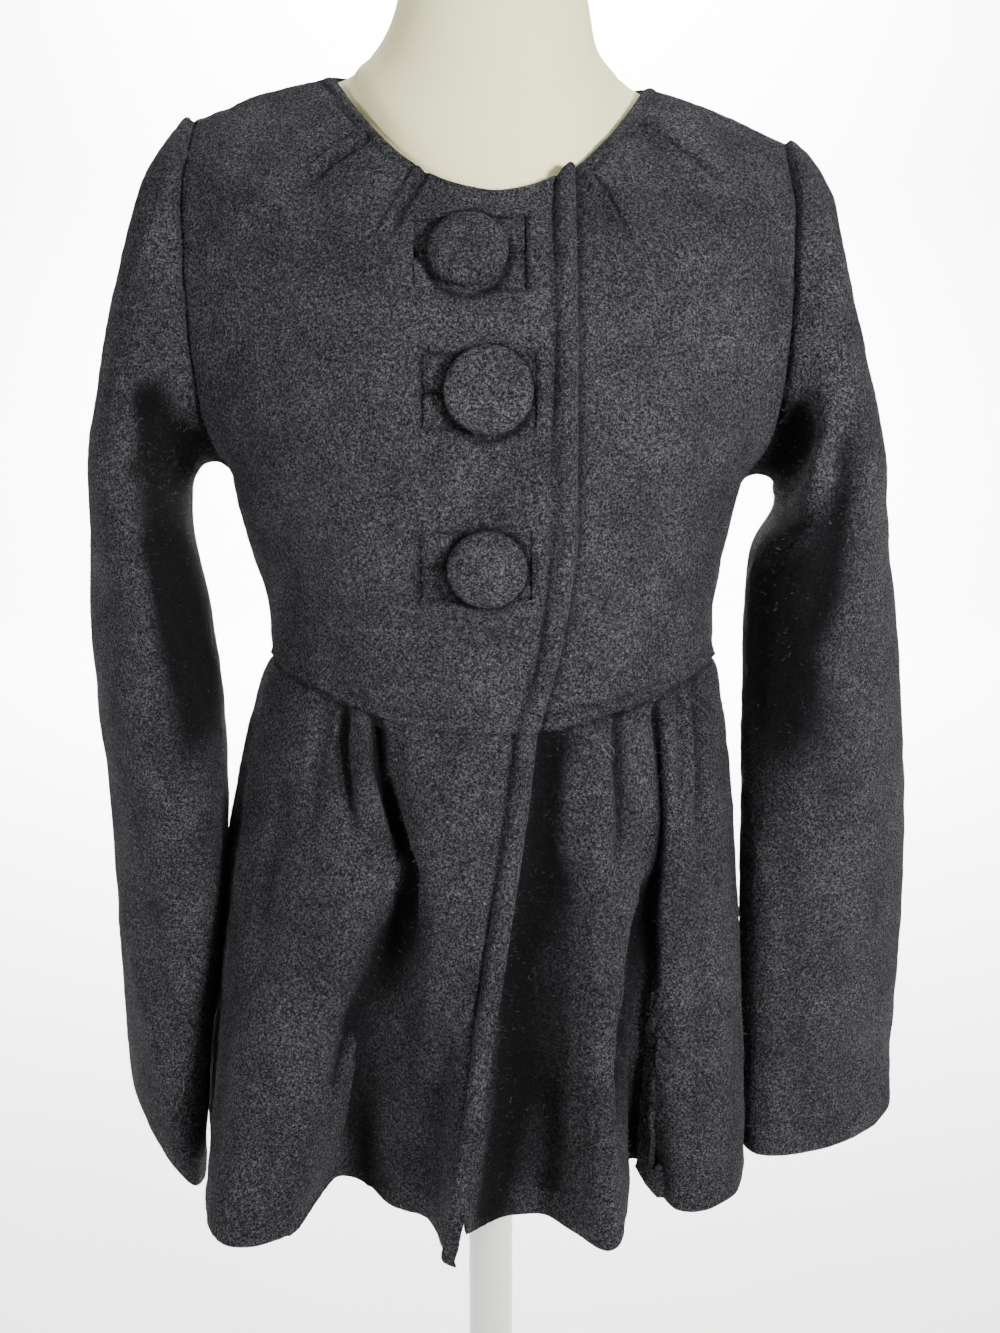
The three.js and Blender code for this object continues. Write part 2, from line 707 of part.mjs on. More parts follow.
// ---- dress form ----
const formFrontColumns = 12;
const formBackColumns = 10;
const formReach = 0.96; // how near a ring's front and back halves come to its side points

function formTorsoRing(u) {
  const atShoulder = smooth(tipRow - 0.6, tipRow, u);
  const atNeckline = smooth(tipRow + 1, neckRow, u); // 1 mm more room there
  const inset = wall + mix(formClear, restGap, atShoulder) + atNeckline;
  const at = (isFront, t) => {
    const shared = Math.abs(t) > 0.999 && sharesSeam(u);
    const n = shared ? seamNormal(u, Math.sign(t)) : torsoNormal(isFront, u, t);
    return torsoPoint(isFront, u, t).addScaledVector(n, -inset);
  };
  const front = [];
  const back = [];
  for (let i = 0; i <= formFrontColumns; i += 1) {
    front.push(at(true, mix(-formReach, formReach, i / formFrontColumns)));
  }
  for (let i = 0; i <= formBackColumns; i += 1) {
    back.push(at(false, mix(formReach, -formReach, i / formBackColumns)));
  }
  const between = (a, b, side) => {
    if (sharesSeam(u)) return at(true, side);
    return a.clone().lerp(b, 0.5);
  };
  const left = between(front[formFrontColumns], back[0], 1);
  const right = between(back[formBackColumns], front[0], -1);
  return [...front, left, ...back, right];
}

function formOvalRing({ middle = 0, half, front, back, frontZ, sideZ, backZ }) {
  const points = [];
  const place = (isFront, t) => {
    const angle = t * 90 * degrees;
    const reach = isFront ? front : back;
    const z = mix(sideZ, isFront ? frontZ : backZ, Math.cos(angle) ** 1.3);
    points.push(vec(middle + half * Math.sin(angle), Math.cos(angle) * reach, z));
  };
  for (let i = 0; i <= formFrontColumns; i += 1) {
    place(true, mix(-formReach, formReach, i / formFrontColumns));
  }
  points.push(vec(middle + half, 0, sideZ));
  for (let i = 0; i <= formBackColumns; i += 1) {
    place(false, mix(formReach, -formReach, i / formBackColumns));
  }
  points.push(vec(middle - half, 0, sideZ));
  return points;
}

// A closed solid through rings, flat at its two ends.
function loft(rings) {
  const count = rings[0].length;
  const positions = [];
  for (const ring of rings) {
    for (const p of ring) positions.push(p.x, p.y, p.z);
  }
  const ends = [rings[0], rings[rings.length - 1]].map((ring) => {
    const middle = ring.reduce((sum, p) => sum.add(p), vec(0, 0, 0)).divideScalar(count);
    positions.push(middle.x, middle.y, middle.z);
    return positions.length / 3 - 1;
  });
  const triangles = [];
  for (let j = 0; j < rings.length - 1; j += 1) {
    for (let i = 0; i < count; i += 1) {
      const a = j * count + i;
      const b = j * count + (i + 1) % count;
      triangles.push(a, b, b + count, a, b + count, a + count);
    }
  }
  const top = (rings.length - 1) * count;
  for (let i = 0; i < count; i += 1) {
    triangles.push(i, ends[0], (i + 1) % count);
    triangles.push(top + i, top + (i + 1) % count, ends[1]);
  }
  const geometry = new THREE.BufferGeometry();
  geometry.setAttribute('position', new THREE.Float32BufferAttribute(positions, 3));
  geometry.setIndex(triangles);
  return facingOut(geometry);
}

function formBody() {
  const hips = formHips.map((h) => formOvalRing({ ...h, frontZ: h.z, sideZ: h.z, backZ: h.z }));
  const torso = [0.2, 1, 2, 3, 3.6, 4.2, 5, 6, 7, 7.6, 8, 8.6, 9.2, neckRow].map(formTorsoRing);
  return loft([...hips, ...torso, ...formNeck.map(formOvalRing)]);
}

function formNeckCap() {
  const top = formNeck[formNeck.length - 1];
  const level = (z, inset) => formOvalRing({
    middle: top.middle,
    half: top.half - inset,
    front: top.front + inset,
    back: top.back - inset,
    frontZ: z,
    sideZ: z,
    backZ: z,
  });
  const z0 = top.sideZ + partGap;
  return loft([level(z0, 1), level(z0 + capThick - 2, 1), level(z0 + capThick, 3)]);
}

function formPole() {
  const low = baseThick + partGap;
  const high = formHips[0].z - partGap;
  const pole = new THREE.CylinderGeometry(poleRadius, poleRadius, high - low, 24);
  pole.rotateX(Math.PI / 2);
  pole.translate(0, 0, (low + high) / 2);
  return pole;
}

function formBase() {
  const edge = 6; // rounded upper edge
  const profile = [
    new THREE.Vector2(0, 0),
    new THREE.Vector2(baseRadius, 0),
    new THREE.Vector2(baseRadius, baseThick - edge),
  ];
  for (let k = 1; k <= 3; k += 1) {
    const a = k / 3 * 90 * degrees;
    const out = baseRadius - edge + edge * Math.cos(a);
    profile.push(new THREE.Vector2(out, baseThick - edge + edge * Math.sin(a)));
  }
  profile.push(new THREE.Vector2(0, baseThick));
  const base = new THREE.LatheGeometry(profile, 36);
  base.rotateX(Math.PI / 2);
  return base;
}

// ---- the object ----
const group = new THREE.Group();

function add(name, geometry, material) {
  const mesh = new THREE.Mesh(geometry, material);
  mesh.name = name;
  group.add(mesh);
}

let rightFront = toManifold(frontPanel(-1, overEdge, 16));
for (const button of buttons) {
  const w = windowOf(button);
  rightFront = rightFront.subtract(toManifold(frontPatch(w.x0, w.x1, w.z0, w.z1, -wall - 2.5, 4, 6)));
}
add('front_right_bodice', fromManifold(rightFront), wool);
add('front_left_bodice', frontPanel(1, underEdge, 14), wool);
add('back_bodice', backPanel(20), wool);
add('front_right_peplum', peplumPanel(rightPeplumFolds, true, overLift, 2), wool);
add('front_left_peplum', peplumPanel(leftPeplumFolds, true, () => 0, 2), wool);
add('back_peplum', peplumPanel(backPeplumFolds, false, () => 0, 2), wool);
add('sleeve_right', sleeve(-1, rightSleeveTube), wool);
add('sleeve_left', sleeve(1, leftSleeveTube), wool);
for (const button of buttons) {
  add(`button_${button.name}`, placeOnFront(buttonGeometry(button.across), button.x, button.z), woolButton);
  for (const welt of welts(button)) add(welt.name, welt.geometry, wool);
}
for (const tuck of tucks) add(tuck.name, tuckRidge(tuck), wool);
add('form_body', formBody(), jersey);
add('form_neck_cap', formNeckCap(), jersey);
add('form_pole', formPole(), enamel);
add('form_base', formBase(), enamel);

export default group;
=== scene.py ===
# Peplum coat of boiled wool on a small dress form. Metres; x to the wearer's left, the front faces -y.
import math
import bpy
import numpy as np
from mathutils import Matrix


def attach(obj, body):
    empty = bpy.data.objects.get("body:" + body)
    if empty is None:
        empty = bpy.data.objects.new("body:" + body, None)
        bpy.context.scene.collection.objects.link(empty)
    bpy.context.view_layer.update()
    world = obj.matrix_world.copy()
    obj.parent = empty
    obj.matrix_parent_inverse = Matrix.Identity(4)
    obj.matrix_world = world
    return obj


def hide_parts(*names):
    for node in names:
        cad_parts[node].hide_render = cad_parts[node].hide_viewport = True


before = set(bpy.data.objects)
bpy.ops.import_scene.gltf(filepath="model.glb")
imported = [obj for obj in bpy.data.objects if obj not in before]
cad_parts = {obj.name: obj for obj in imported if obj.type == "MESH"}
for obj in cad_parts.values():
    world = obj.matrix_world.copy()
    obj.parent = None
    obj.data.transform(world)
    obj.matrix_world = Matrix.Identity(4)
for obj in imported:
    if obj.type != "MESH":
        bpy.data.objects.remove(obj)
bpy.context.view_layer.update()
print("frame in, starting the coat")

degrees = math.pi / 180


def table(names, *rows):
    columns = {}
    for k, name in enumerate(names.split()):
        values = [row[k] for row in rows]
        columns[name] = values if isinstance(values[0], str) else np.array(values, float)
    return columns


bodiceRows = table(
    "at frontZ frontY backZ backY edgeX edgeZ edgeFrontY edgeBackY sway turn rise",
    ("waist", 560, -104, 584, 78, 133, 588, 2, 2, 2, 90, 2.4),
    ("rib", 610, -107, 622, 80, 135, 625, 2, 2, 0.5, 90, 2.2),
    ("underbust", 665, -118, 660, 89, 144, 662, 1, 1, -1.8, 90, 2.0),
    ("underarm", 715, -127, 700, 99, 152, 695, 0, 0, -2, 88, 1.8),
    ("bust", 745, -127, 736, 106, 165, 722, -25, 30, -0.5, 66, 1.7),
    ("chest", 775, -121, 776, 111, 171, 765, -38, 50, 0, 50, 1.6),
    ("blade", 800, -112, 818, 109, 174, 815, -38, 52, 0, 44, 1.5),
    ("collarbone", 822, -101, 858, 100, 175, 861, -24, 40, 0, 42, 1.4),
    ("tip", 838, -90, 888, 88, 172, 896, 8, 8, 0, 45, 1.3),
    ("shoulder", 850, -81, 908, 75, 132, 913, 11, 11, 0, 53, 1.25),
    ("neckline", 857, -75, 924, 63, 91, 925, 12, 12, 0, 65, 1.2),
)
rightPeplumFolds = table(
    "seam hipX hipY hemX hemY hemZ",
    (27, 12, -132, -20, -170, 274),  # front edge
    (14, 0, -132, -26, -155, 275),
    (-2, -14, -130, -31, -134, 277),
    (-36, -34, -123, -40, -116, 277),
    (-52, -48, -107, -62, -101, 277),
    (-62, -58, -103, -88, -86, 287),  # deep valley
    (-76, -74, -114, -101, -104, 283),
    (-90, -94, -112, -112, -135, 277),
    (-102, -114, -99, -131, -150, 276),  # crest
    (-112, -131, -82, -152, -146, 276),
    (-121, -147, -56, -165, -116, 277),
    (-128, -155, -28, -170, -60, 286),
    (-131, -162, 2, -181, 6, 292),  # side seam
)
leftPeplumFolds = table(
    "seam hipX hipY hemX hemY hemZ",
    (-44, -30, -117, -12, -142, 279),  # edge under the other front
    (-18, -10, -119, 4, -131, 278),
    (8, 10, -117, 16, -120, 278),
    (30, 28, -112, 32, -115, 277),  # shallow valley
    (48, 46, -113, 48, -135, 276),
    (62, 62, -114, 64, -155, 276),  # crest
    (74, 75, -107, 75, -145, 276),
    (83, 83, -96, 80, -112, 283),
    (91, 90, -88, 85, -80, 293),  # deep valley
    (99, 101, -92, 94, -91, 284),
    (108, 116, -88, 109, -104, 275),
    (119, 133, -72, 131, -102, 275),  # crest
    (129, 147, -38, 152, -71, 276),
    (135, 150.5, 2, 159, -5, 277),  # side seam
)
backPeplumFolds = table(
    "seam hipX hipY hemX hemY hemZ",
    (-131, -162, 2, -181, 6, 292),  # side seam
    (-124, -152, 36, -171, 52, 287),
    (-106, -130, 68, -150, 100, 280),  # crest
    (-88, -106, 82, -114, 103, 284),  # valley
    (-64, -76, 102, -82, 146, 276),  # crest
    (-38, -44, 99, -46, 121, 281),  # valley
    (-12, -12, 109, -10, 153, 275),  # crest
    (16, 18, 103, 24, 126, 280),  # valley
    (44, 48, 106, 58, 148, 275),  # crest
    (70, 78, 89, 90, 112, 280),  # valley
    (94, 108, 84, 120, 112, 275),  # crest
    (121, 138, 50, 145, 60, 276),
    (135, 150.5, 2, 159, -5, 277),  # side seam
)
sleeveHead = table(
    "swing innerRight innerLeft innerZ reachRight reachLeft deep morph",
    (5, 165, 165, 693, 201, 201, 54, 0.4),
    (11, 168, 168, 692, 178, 178, 58, 0.7),
    (18, 171, 169, 690, 142, 138, 62, 0.85),
    (28, 175, 170, 687, 105, 106, 66, 1),
    (45, 178, 171, 682, 77, 83, 70, 1),
    (65, 179, 170, 675, 65, 72, 72, 1),
)
rightSleeveTube = table(
    "z inner outer y deep yaw slant tip",
    (656, 175, 242, 4, 74, 8, 0, 0),
    (608, 166, 245, 5, 74, 12, 0, 0),
    (559, 161, 243, 5, 73, 14, 0, 0),
    (495, 161, 238, 3, 72, 15, 2, 2),
    (432, 165, 237, 0, 70, 17, 4, 4),
    (374, 170, 236, -4, 69, 19, 6, 7),
    (328, 173, 235, -8, 68, 20, 8, 10),
    (290, 175, 233, -10, 67, 20, 13, 16),
)
leftSleeveTube = table(
    "z inner outer y deep yaw slant tip",
    (656, 156, 242, 4, 74, 10, 0, 0),
    (608, 152, 250, 5, 74, 18, 0, 0),
    (559, 152, 256, 6, 73, 26, 0, 0),
    (495, 153, 262, 8, 72, 34, 0, 0),
    (431, 153, 264, 10, 71, 39, 0, 0),
    (370, 155.5, 264, 11, 70, 42, -1, -1),
    (320, 157, 263, 11, 69, 44, -1, 0),
    (279, 158, 263, 10, 68, 44, -1, 1),
)
formHips = table(
    "z half front back",
    (345, 124, -84, 92),
    (352, 130, -90, 98),
    (430, 134, -94, 100),
    (510, 131, -94, 90),
)
formNeck = table(
    "middle half front back frontZ sideZ backZ",
    (-3, 72, -63, 56, 888, 931, 934),
    (-1.2, 62.3, -56, 51, 920, 943, 944),
    (1.2, 56.8, -51, 47, 950, 958, 958),
    (2, 53.3, -48, 45, 976, 976, 976),
    (2, 52, -47, 44, 1004, 1004, 1004),
)
hipStation = 0.5  # where the hip points stand along the eased drop
dropEase = 0.7  # the flare opens soon below the waist seam
settleTilt = 0.037  # the coat hangs lower on the wearer's left
settleFrom, settleTo = 560, 860  # heights where that tilt starts and is whole
underarm, tip, neckRow = 3, 8, 10  # rows of the bodice
lap = {"lift": 3.6, "from": -96, "to": -58}  # right front over left front, and the x where it lifts
frontEdge = {"over": (27, 40, 47, 47), "under": (-44, -44.6, -46, -46)}  # x at the lowest four rows
clothThick = 2.4
gridSize = {  # rows and columns
    "front": (150, 118), "back": (140, 130), "peplumFront": (120, 160), "peplumBack": (120, 180),
    "sleeve": (190, 140), "lip": (18, 34), "form": (110, 132),
}


def smooth(low, high, value):
    t = np.clip((np.asarray(value, float) - low) / (high - low), 0, 1)
    return t * t * (3 - 2 * t)


def through(values, at, corners=()):
    # smooth curve through a column, with corners at some rows
    values = np.asarray(values, float)
    last = len(values) - 1
    at = np.asarray(at, float)
    k = np.clip(np.floor(at).astype(int), 0, last - 1)
    t = at - k
    start, end = values[k], values[k + 1]
    before = np.where((k == 0) | np.isin(k, corners), start, values[np.maximum(k - 1, 0)])
    after = np.where((k + 1 == last) | np.isin(k + 1, corners), end, values[np.minimum(k + 2, last)])
    startSlope = (end - before) / np.where(before == start, 1, 2)
    endSlope = (after - start) / np.where(after == end, 1, 2)
    t2, t3 = t * t, t * t * t
    return ((2 * t3 - 3 * t2 + 1) * start + (t3 - 2 * t2 + t) * startSlope
            + (3 * t2 - 2 * t3) * end + (t3 - t2) * endSlope)


def settle(points):
    points[..., 2] -= points[..., 0] * settleTilt * smooth(settleFrom, settleTo, points[..., 2])
    return points


def rowAt(u):
    corners = {name: (underarm, tip) if name.startswith("edge") else () for name in bodiceRows}
    return {name: through(values, u, corners[name]) for name, values in bodiceRows.items() if name != "at"}


def torso(isFront, u, t):
    # u climbs from the waist seam, t runs from one side seam (-1) to the other (1)
    u, t = np.broadcast_arrays(np.asarray(u, float), np.asarray(t, float))
    row = rowAt(u)
    end = row["turn"] * degrees
    angle = t * end
    centreY = row["frontY"] if isFront else row["backY"]
    centreZ = row["frontZ"] if isFront else row["backZ"]
    edgeY = row["edgeFrontY"] if isFront else row["edgeBackY"]
    climb = 1 - np.clip(np.cos(np.minimum(abs(t), 1) * math.pi / 2), 0, None) ** row["rise"]
    x = row["sway"] + row["edgeX"] * np.sin(angle) / np.sin(end)
    y = edgeY + (centreY - edgeY) * (np.cos(angle) - np.cos(end)) / (1 - np.cos(end))
    return settle(np.stack([x, y, centreZ + (row["edgeZ"] - centreZ) * climb], -1))


def tForX(u, x):
    row = rowAt(u)
    end = row["turn"] * degrees
    return np.arcsin(np.clip((x - row["sway"]) * np.sin(end) / row["edgeX"], -1, 1)) / end


def normalsOf(points, isRound=False):
    along = np.gradient(points, axis=0)
    if isRound:
        across = np.roll(points, -1, axis=1) - np.roll(points, 1, axis=1)
    else:
        across = np.gradient(points, axis=1)
    n = np.cross(across, along)
    n /= np.maximum(np.linalg.norm(n, axis=-1, keepdims=True), 1e-9)
    middle = points.mean(axis=(0, 1)) if not isRound else points.mean(axis=1, keepdims=True)
    away = points - middle
    return n if (n * away).sum(-1).mean() > 0 else -n


def reach(points, axis):
    # distance run along a grid's rows or columns
    steps = np.linalg.norm(np.diff(points, axis=axis), axis=-1)
    zero = np.zeros_like(np.take(steps, [0], axis=axis))
    return np.cumsum(np.concatenate([zero, steps], axis=axis), axis=axis)


def stations(low, high, count):
    # even stations with a few more near both ends, for rolled edges
    k = np.concatenate([[0, 0.25, 0.6], np.arange(1, count), [count - 0.6, count - 0.25, count]])
    return low + (high - low) * k / count


def skin(rings, at):
    # a smooth grid through rings of points, at the stations given
    rings = np.array(rings)
    points = np.empty((len(at),) + rings.shape[1:])
    for column in range(rings.shape[1]):
        for axis in range(3):
            points[:, column, axis] = through(rings[:, column, axis], at)
    return points


def frontEdgeX(which, u):
    return through(frontEdge[which], np.minimum(u, 3))


def frontGrid(side, rows, columns):
    u = stations(0, neckRow, rows)
    edgeX = frontEdgeX("over" if side < 0 else "under", u)
    start = tForX(u, edgeX)
    share = stations(0, 1, columns)
    t = start[:, None] + (side - start[:, None]) * share[None, :]
    return torso(True, u[:, None], t)


def backGrid(rows, columns):
    u = stations(0, neckRow, rows)
    return torso(False, u[:, None], stations(-1, 1, columns)[None, :])


def peplumGrid(folds, isFront, rows, columns):
    seamT = tForX(np.zeros(len(folds["seam"])), folds["seam"])
    s = stations(0, len(seamT) - 1, columns)
    v = stations(0, 1, rows)[:, None]
    top = torso(isFront, 0, np.clip(through(seamT, s), -1, 1))[None]
    w = v ** dropEase
    near = (1 - w) * (1 - w / hipStation)
    middle = w * (1 - w) / (hipStation * (1 - hipStation))
    far = w * (w - hipStation) / (1 - hipStation)
    x = near * top[..., 0] + middle * through(folds["hipX"], s) + far * through(folds["hemX"], s)
    y = near * top[..., 1] + middle * through(folds["hipY"], s) + far * through(folds["hemY"], s)
    z = top[..., 2] + (through(folds["hemZ"], s) - top[..., 2]) * v
    return np.stack([x, y, z], -1)


def sleeveGrid(side, tube, rows, columns):
    angle = np.arange(columns) * 2 * math.pi / columns
    isFront = angle <= math.pi
    lift = np.where(isFront, angle, 2 * math.pi - angle) / math.pi
    u = underarm + (tip - underarm) * lift
    armhole = np.where(isFront[:, None], torso(True, u, side), torso(False, u, side))
    centre = armhole.mean(axis=0)
    rings = [armhole]
    inner, reached = ("innerRight", "reachRight") if side < 0 else ("innerLeft", "reachLeft")
    for k in range(len(sleeveHead["swing"])):
        swing = sleeveHead["swing"][k] * degrees
        half = sleeveHead[reached][k] / 2
        x = side * (sleeveHead[inner][k] + math.sin(swing) * half)
        middle = settle(np.array([x, 4, sleeveHead["innerZ"][k] + math.cos(swing) * half]))
        inward = np.array([-side * math.sin(swing) * half, 0, -math.cos(swing) * half])
        forward = np.array([0, -sleeveHead["deep"][k], 0])
        oval = middle + inward * np.cos(angle)[:, None] + forward * np.sin(angle)[:, None]
        moved = armhole - centre + middle
        rings.append(moved + (oval - moved) * sleeveHead["morph"][k])
    for k in range(len(tube["z"])):
        yaw = tube["yaw"][k] * degrees
        half = (tube["outer"][k] - tube["inner"][k]) / 2
        thick = math.sqrt(half ** 2 - (tube["deep"][k] * math.sin(yaw)) ** 2) / math.cos(yaw)
        x = side * (tube["outer"][k] + tube["inner"][k]) / 2
        middle = settle(np.array([x, tube["y"][k], tube["z"][k]]))
        inward = np.array([-side * math.cos(yaw) * thick, math.sin(yaw) * thick, -tube["tip"][k]])
        forward = np.array([-side * math.sin(yaw), -math.cos(yaw), 0]) * tube["deep"][k]
        forward[2] = -tube["slant"][k]
        rings.append(middle + inward * np.cos(angle)[:, None] + forward * np.sin(angle)[:, None])
    return skin(rings, stations(0, len(rings) - 1, rows))


def lumps(points, size, seed):
    # soft unevenness of the felted cloth, about -1 to 1
    rng = np.random.default_rng(seed)
    total = np.zeros(points.shape[:-1])
    for k in range(16):
        way = rng.normal(size=3)
        way *= 2 * math.pi / (np.linalg.norm(way) * size * rng.uniform(0.6, 1.6))
        total += np.sin(points @ way + rng.uniform(0, 6.3))
    return total / 4


def toPath(points, path):
    # distance to a line drawn on the front or back (x, z), signed side and share run along it
    p = points[..., [0, 2]]
    best = np.full(p.shape[:-1], 1e9)
    side = np.zeros_like(best)
    run = np.zeros_like(best)
    path = np.array(path, float)
    lengths = np.linalg.norm(np.diff(path, axis=0), axis=1)
    done = 0
    for a, b, long in zip(path[:-1], path[1:], lengths):
        way = (b - a) / long
        f = np.clip((p - a) @ way, 0, long)
        off = p - a - f[..., None] * way
        d = np.linalg.norm(off, axis=-1)
        near = d < best
        best = np.where(near, d, best)
        side = np.where(near, np.sign(off[..., 0] * way[1] - off[..., 1] * way[0]), side)
        run = np.where(near, (done + f) / lengths.sum(), run)
        done += long
    return best, side, run


def fold(high, wide, *path, **more):
    return dict(path=path, high=high, wide=wide, **more)


def crease(points, normals, path, high, wide, faces=-1, start=0.15, end=0.3):
    # one soft ridge, or a trough where high is negative; faces is -1 on the front and 1 on the back
    # two widths make it steep on one side and slow on the other
    d, side, run = toPath(points, path)
    wide = np.where(side > 0, wide[0], wide[1]) if isinstance(wide, tuple) else wide
    fade = smooth(0, start, run + 0.02) * (1 - smooth(1 - end, 1, run - 0.02))
    shown = smooth(0.0, 0.35, normals[..., 1] * faces)
    return high * np.exp(-(d / wide) ** 2) * fade * shown


def bump(distance, at, high, wide):
    return high * np.exp(-((distance - at) / wide) ** 2)


def dip(distance, at, deep, wide):
    return bump(distance, at, -deep, wide)


def onEdge(distance, deep=1.1, wide=1.1):
    # outer face rolls in at a cut or turned edge
    return -deep * np.exp(-distance / wide)


def pick(*names):
    for o in bpy.context.selected_objects:
        o.select_set(False)
    for o in names:
        o.select_set(True)
        bpy.context.view_layer.objects.active = o


def applied(o, kind, **settings):
    mod = o.modifiers.new(kind.lower(), kind)
    for name, value in settings.items():
        setattr(mod, name, value)
    pick(o)
    bpy.ops.object.modifier_apply(modifier=mod.name)


def coordinates(o):
    co = np.empty(len(o.data.vertices) * 3)
    o.data.vertices.foreach_get("co", co)
    return co.reshape(-1, 3)


def surface(name, points, isRound=False, thick=clothThick, keep=None, angle=55, hollow=0):
    # a grid moved onto the cloth's form, then given its thickness inwards
    # the last argument is painted shade, stored as a point attribute that darkens the wool towards near black; keep
    # is False inside an opening
    hollow = np.zeros(points.shape[:2]) + hollow
    n = normalsOf(points, isRound)
    along = np.gradient(points, axis=0)
    across = np.roll(points, -1, axis=1) - points if isRound else np.gradient(points, axis=1)
    if (np.cross(across, along) * n).sum() < 0:
        points, hollow = points[:, ::-1], hollow[:, ::-1]
        keep = None if keep is None else keep[:, ::-1]
    if isRound:
        points = np.concatenate([points, points[:, :1]], axis=1)
        hollow = np.concatenate([hollow, hollow[:, :1]], axis=1)
    rows, columns = points.shape[:2]
    pick()
    bpy.ops.mesh.primitive_grid_add(x_subdivisions=columns - 1, y_subdivisions=rows - 1, size=1,
                                    location=(0, 0, 0))
    o = bpy.context.object
    o.name = name
    o.data.vertices.foreach_set("co", (points / 1000).reshape(-1))
    o.data.attributes.new("hollow", "FLOAT", "POINT").data.foreach_set("value", hollow.reshape(-1))
    if keep is not None:
        drop = ~keep
        lost = drop[:-1, :-1] & drop[1:, :-1] & drop[:-1, 1:] & drop[1:, 1:]
        bpy.ops.object.mode_set(mode="EDIT")
        bpy.ops.mesh.select_mode(type="FACE")
        bpy.ops.mesh.select_all(action="DESELECT")
        bpy.ops.object.mode_set(mode="OBJECT")
        o.data.polygons.foreach_set("select", lost.reshape(-1))
        bpy.ops.object.mode_set(mode="EDIT")
        bpy.ops.mesh.delete(type="FACE")
        bpy.ops.object.mode_set(mode="OBJECT")
    if isRound:
        bpy.ops.object.mode_set(mode="EDIT")
        bpy.ops.mesh.select_all(action="SELECT")
        bpy.ops.mesh.remove_doubles(threshold=0.00001)
        bpy.ops.object.mode_set(mode="OBJECT")
    applied(o, "SOLIDIFY", thickness=thick / 1000, offset=-1, use_quality_normals=True)
    bpy.ops.object.shade_smooth_by_angle(angle=math.radians(angle))
    return o


def finished(o, material, nodes, body="root"):
    o.data.materials.clear()
    o.data.materials.append(material)
    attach(o, body)
    if nodes:
        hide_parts(*nodes)
    return o


# materials
def rgb(code):
    parts = [int(code[k:k + 2], 16) / 255 for k in (1, 3, 5)]
    return [p / 12.92 if p <= 0.04045 else ((p + 0.055) / 1.055) ** 2.4 for p in parts] + [1]


def newMaterial(name):
    material = bpy.data.materials.new(name)
    material.use_nodes = True
    return material, material.node_tree.nodes["Principled BSDF"]


def put(node, **values):
    # values are attributes or input names
    for name, value in values.items():
        if hasattr(node, name):
            setattr(node, name, value)
        else:
            node.inputs[name.replace("_", " ")].default_value = value


def addNode(material, kind, links=(), stops=(), **settings):
    # links are (input, node, output) and stops a colour ramp's (place, colour)
    node = material.node_tree.nodes.new("ShaderNode" + kind)
    put(node, **settings)
    for k, (place, colour) in enumerate(stops):
        stop = node.color_ramp.elements[k] if k < 2 else node.color_ramp.elements.new(place)
        stop.position = place
        stop.color = rgb(colour)
    for socket, other, output in links:
        material.node_tree.links.new(other.outputs[output], node.inputs[socket])
    return node


def dress(material, shader, colour, relief=None, **settings):
    # the shader's colour, its relief and its plain settings
    material.node_tree.links.new(colour.outputs["Color"], shader.inputs["Base Color"])
    if relief:
        material.node_tree.links.new(relief.outputs["Normal"], shader.inputs["Normal"])
    put(shader, **settings)
    return material


def feltedWool(name, tones, fleck, tangle, deep):
    # boiled wool, knitted then felted: mottled curls 1.3 mm across with 0.6 mm hairs over them,
    # so that the eye reads a dry, springy, light-drinking cloth; one texture unit is a millimetre
    material, shader = newMaterial(name)
    place = addNode(material, "TexCoord")
    at = addNode(material, "Mapping", [("Vector", place, "Object")], Scale=(1000, 1000, 1000))
    warp = addNode(material, "TexNoise", [("Vector", at, "Vector")], Scale=0.42, Detail=2)
    bent = addNode(material, "MixRGB", [("Color1", at, "Vector"), ("Color2", warp, "Color")],
                   blend_type="ADD", Fac=tangle)
    curls = addNode(material, "TexNoise", [("Vector", bent, "Color")],
                    Scale=0.75, Detail=4, Roughness=0.62, Distortion=0.8)
    hairs = addNode(material, "TexNoise", [("Vector", bent, "Color")],
                    Scale=1.7, Detail=3, Roughness=0.6, Distortion=1.6)
    broad = addNode(material, "TexNoise", [("Vector", at, "Vector")], Scale=0.03, Detail=3)
    colour = addNode(material, "ValToRGB", [("Fac", curls, "Fac")],
                     [(0.37, tones[0]), (0.64, tones[2]), (0.5, tones[1])])
    speck = addNode(material, "ValToRGB", [("Fac", hairs, "Fac")], [(0.57, "#000000"), (0.69, "#ffffff")])
    lit = addNode(material, "MixRGB", [("Fac", speck, "Color"), ("Color1", colour, "Color")], Color2=rgb(fleck))
    patch = addNode(material, "ValToRGB", [("Fac", broad, "Fac")], [(0.35, "#d2d2d6"), (0.65, "#ffffff")])
    final = addNode(material, "MixRGB", [("Color1", lit, "Color"), ("Color2", patch, "Color")],
                    blend_type="MULTIPLY", Fac=1)
    # painted shade: the colour is mixed towards near black by the point attribute of painted shade, in folds,
    # seams, grooves and round buttons
    paintedShadeMask = addNode(material, "Attribute", attribute_name="hollow")
    woolWithPaintedShade = addNode(material, "MixRGB", [("Fac", paintedShadeMask, "Fac"), ("Color1", final, "Color")],
                     Color2=rgb("#09080b"))
    first = addNode(material, "Bump", [("Height", curls, "Fac")], Strength=1, Distance=deep * 3.2)
    second = addNode(material, "Bump", [("Height", hairs, "Fac"), ("Normal", first, "Normal")],
                     Strength=1, Distance=deep * 2)
    return dress(material, shader, woolWithPaintedShade, second, Roughness=0.96, Specular_IOR_Level=0.12,
                 Sheen_Weight=0.1, Sheen_Roughness=0.5, Sheen_Tint=rgb("#808083"))


wool = feltedWool("boiledWoolFelted", ["#020203", "#212023", "#74737a"], "#c2c1c7", 1.6, 0.0014)
buttonWool = feltedWool("boiledWoolStretchedOverShell", ["#040405", "#272629", "#7a797e"], "#c2c1c7", 1.2, 0.001)


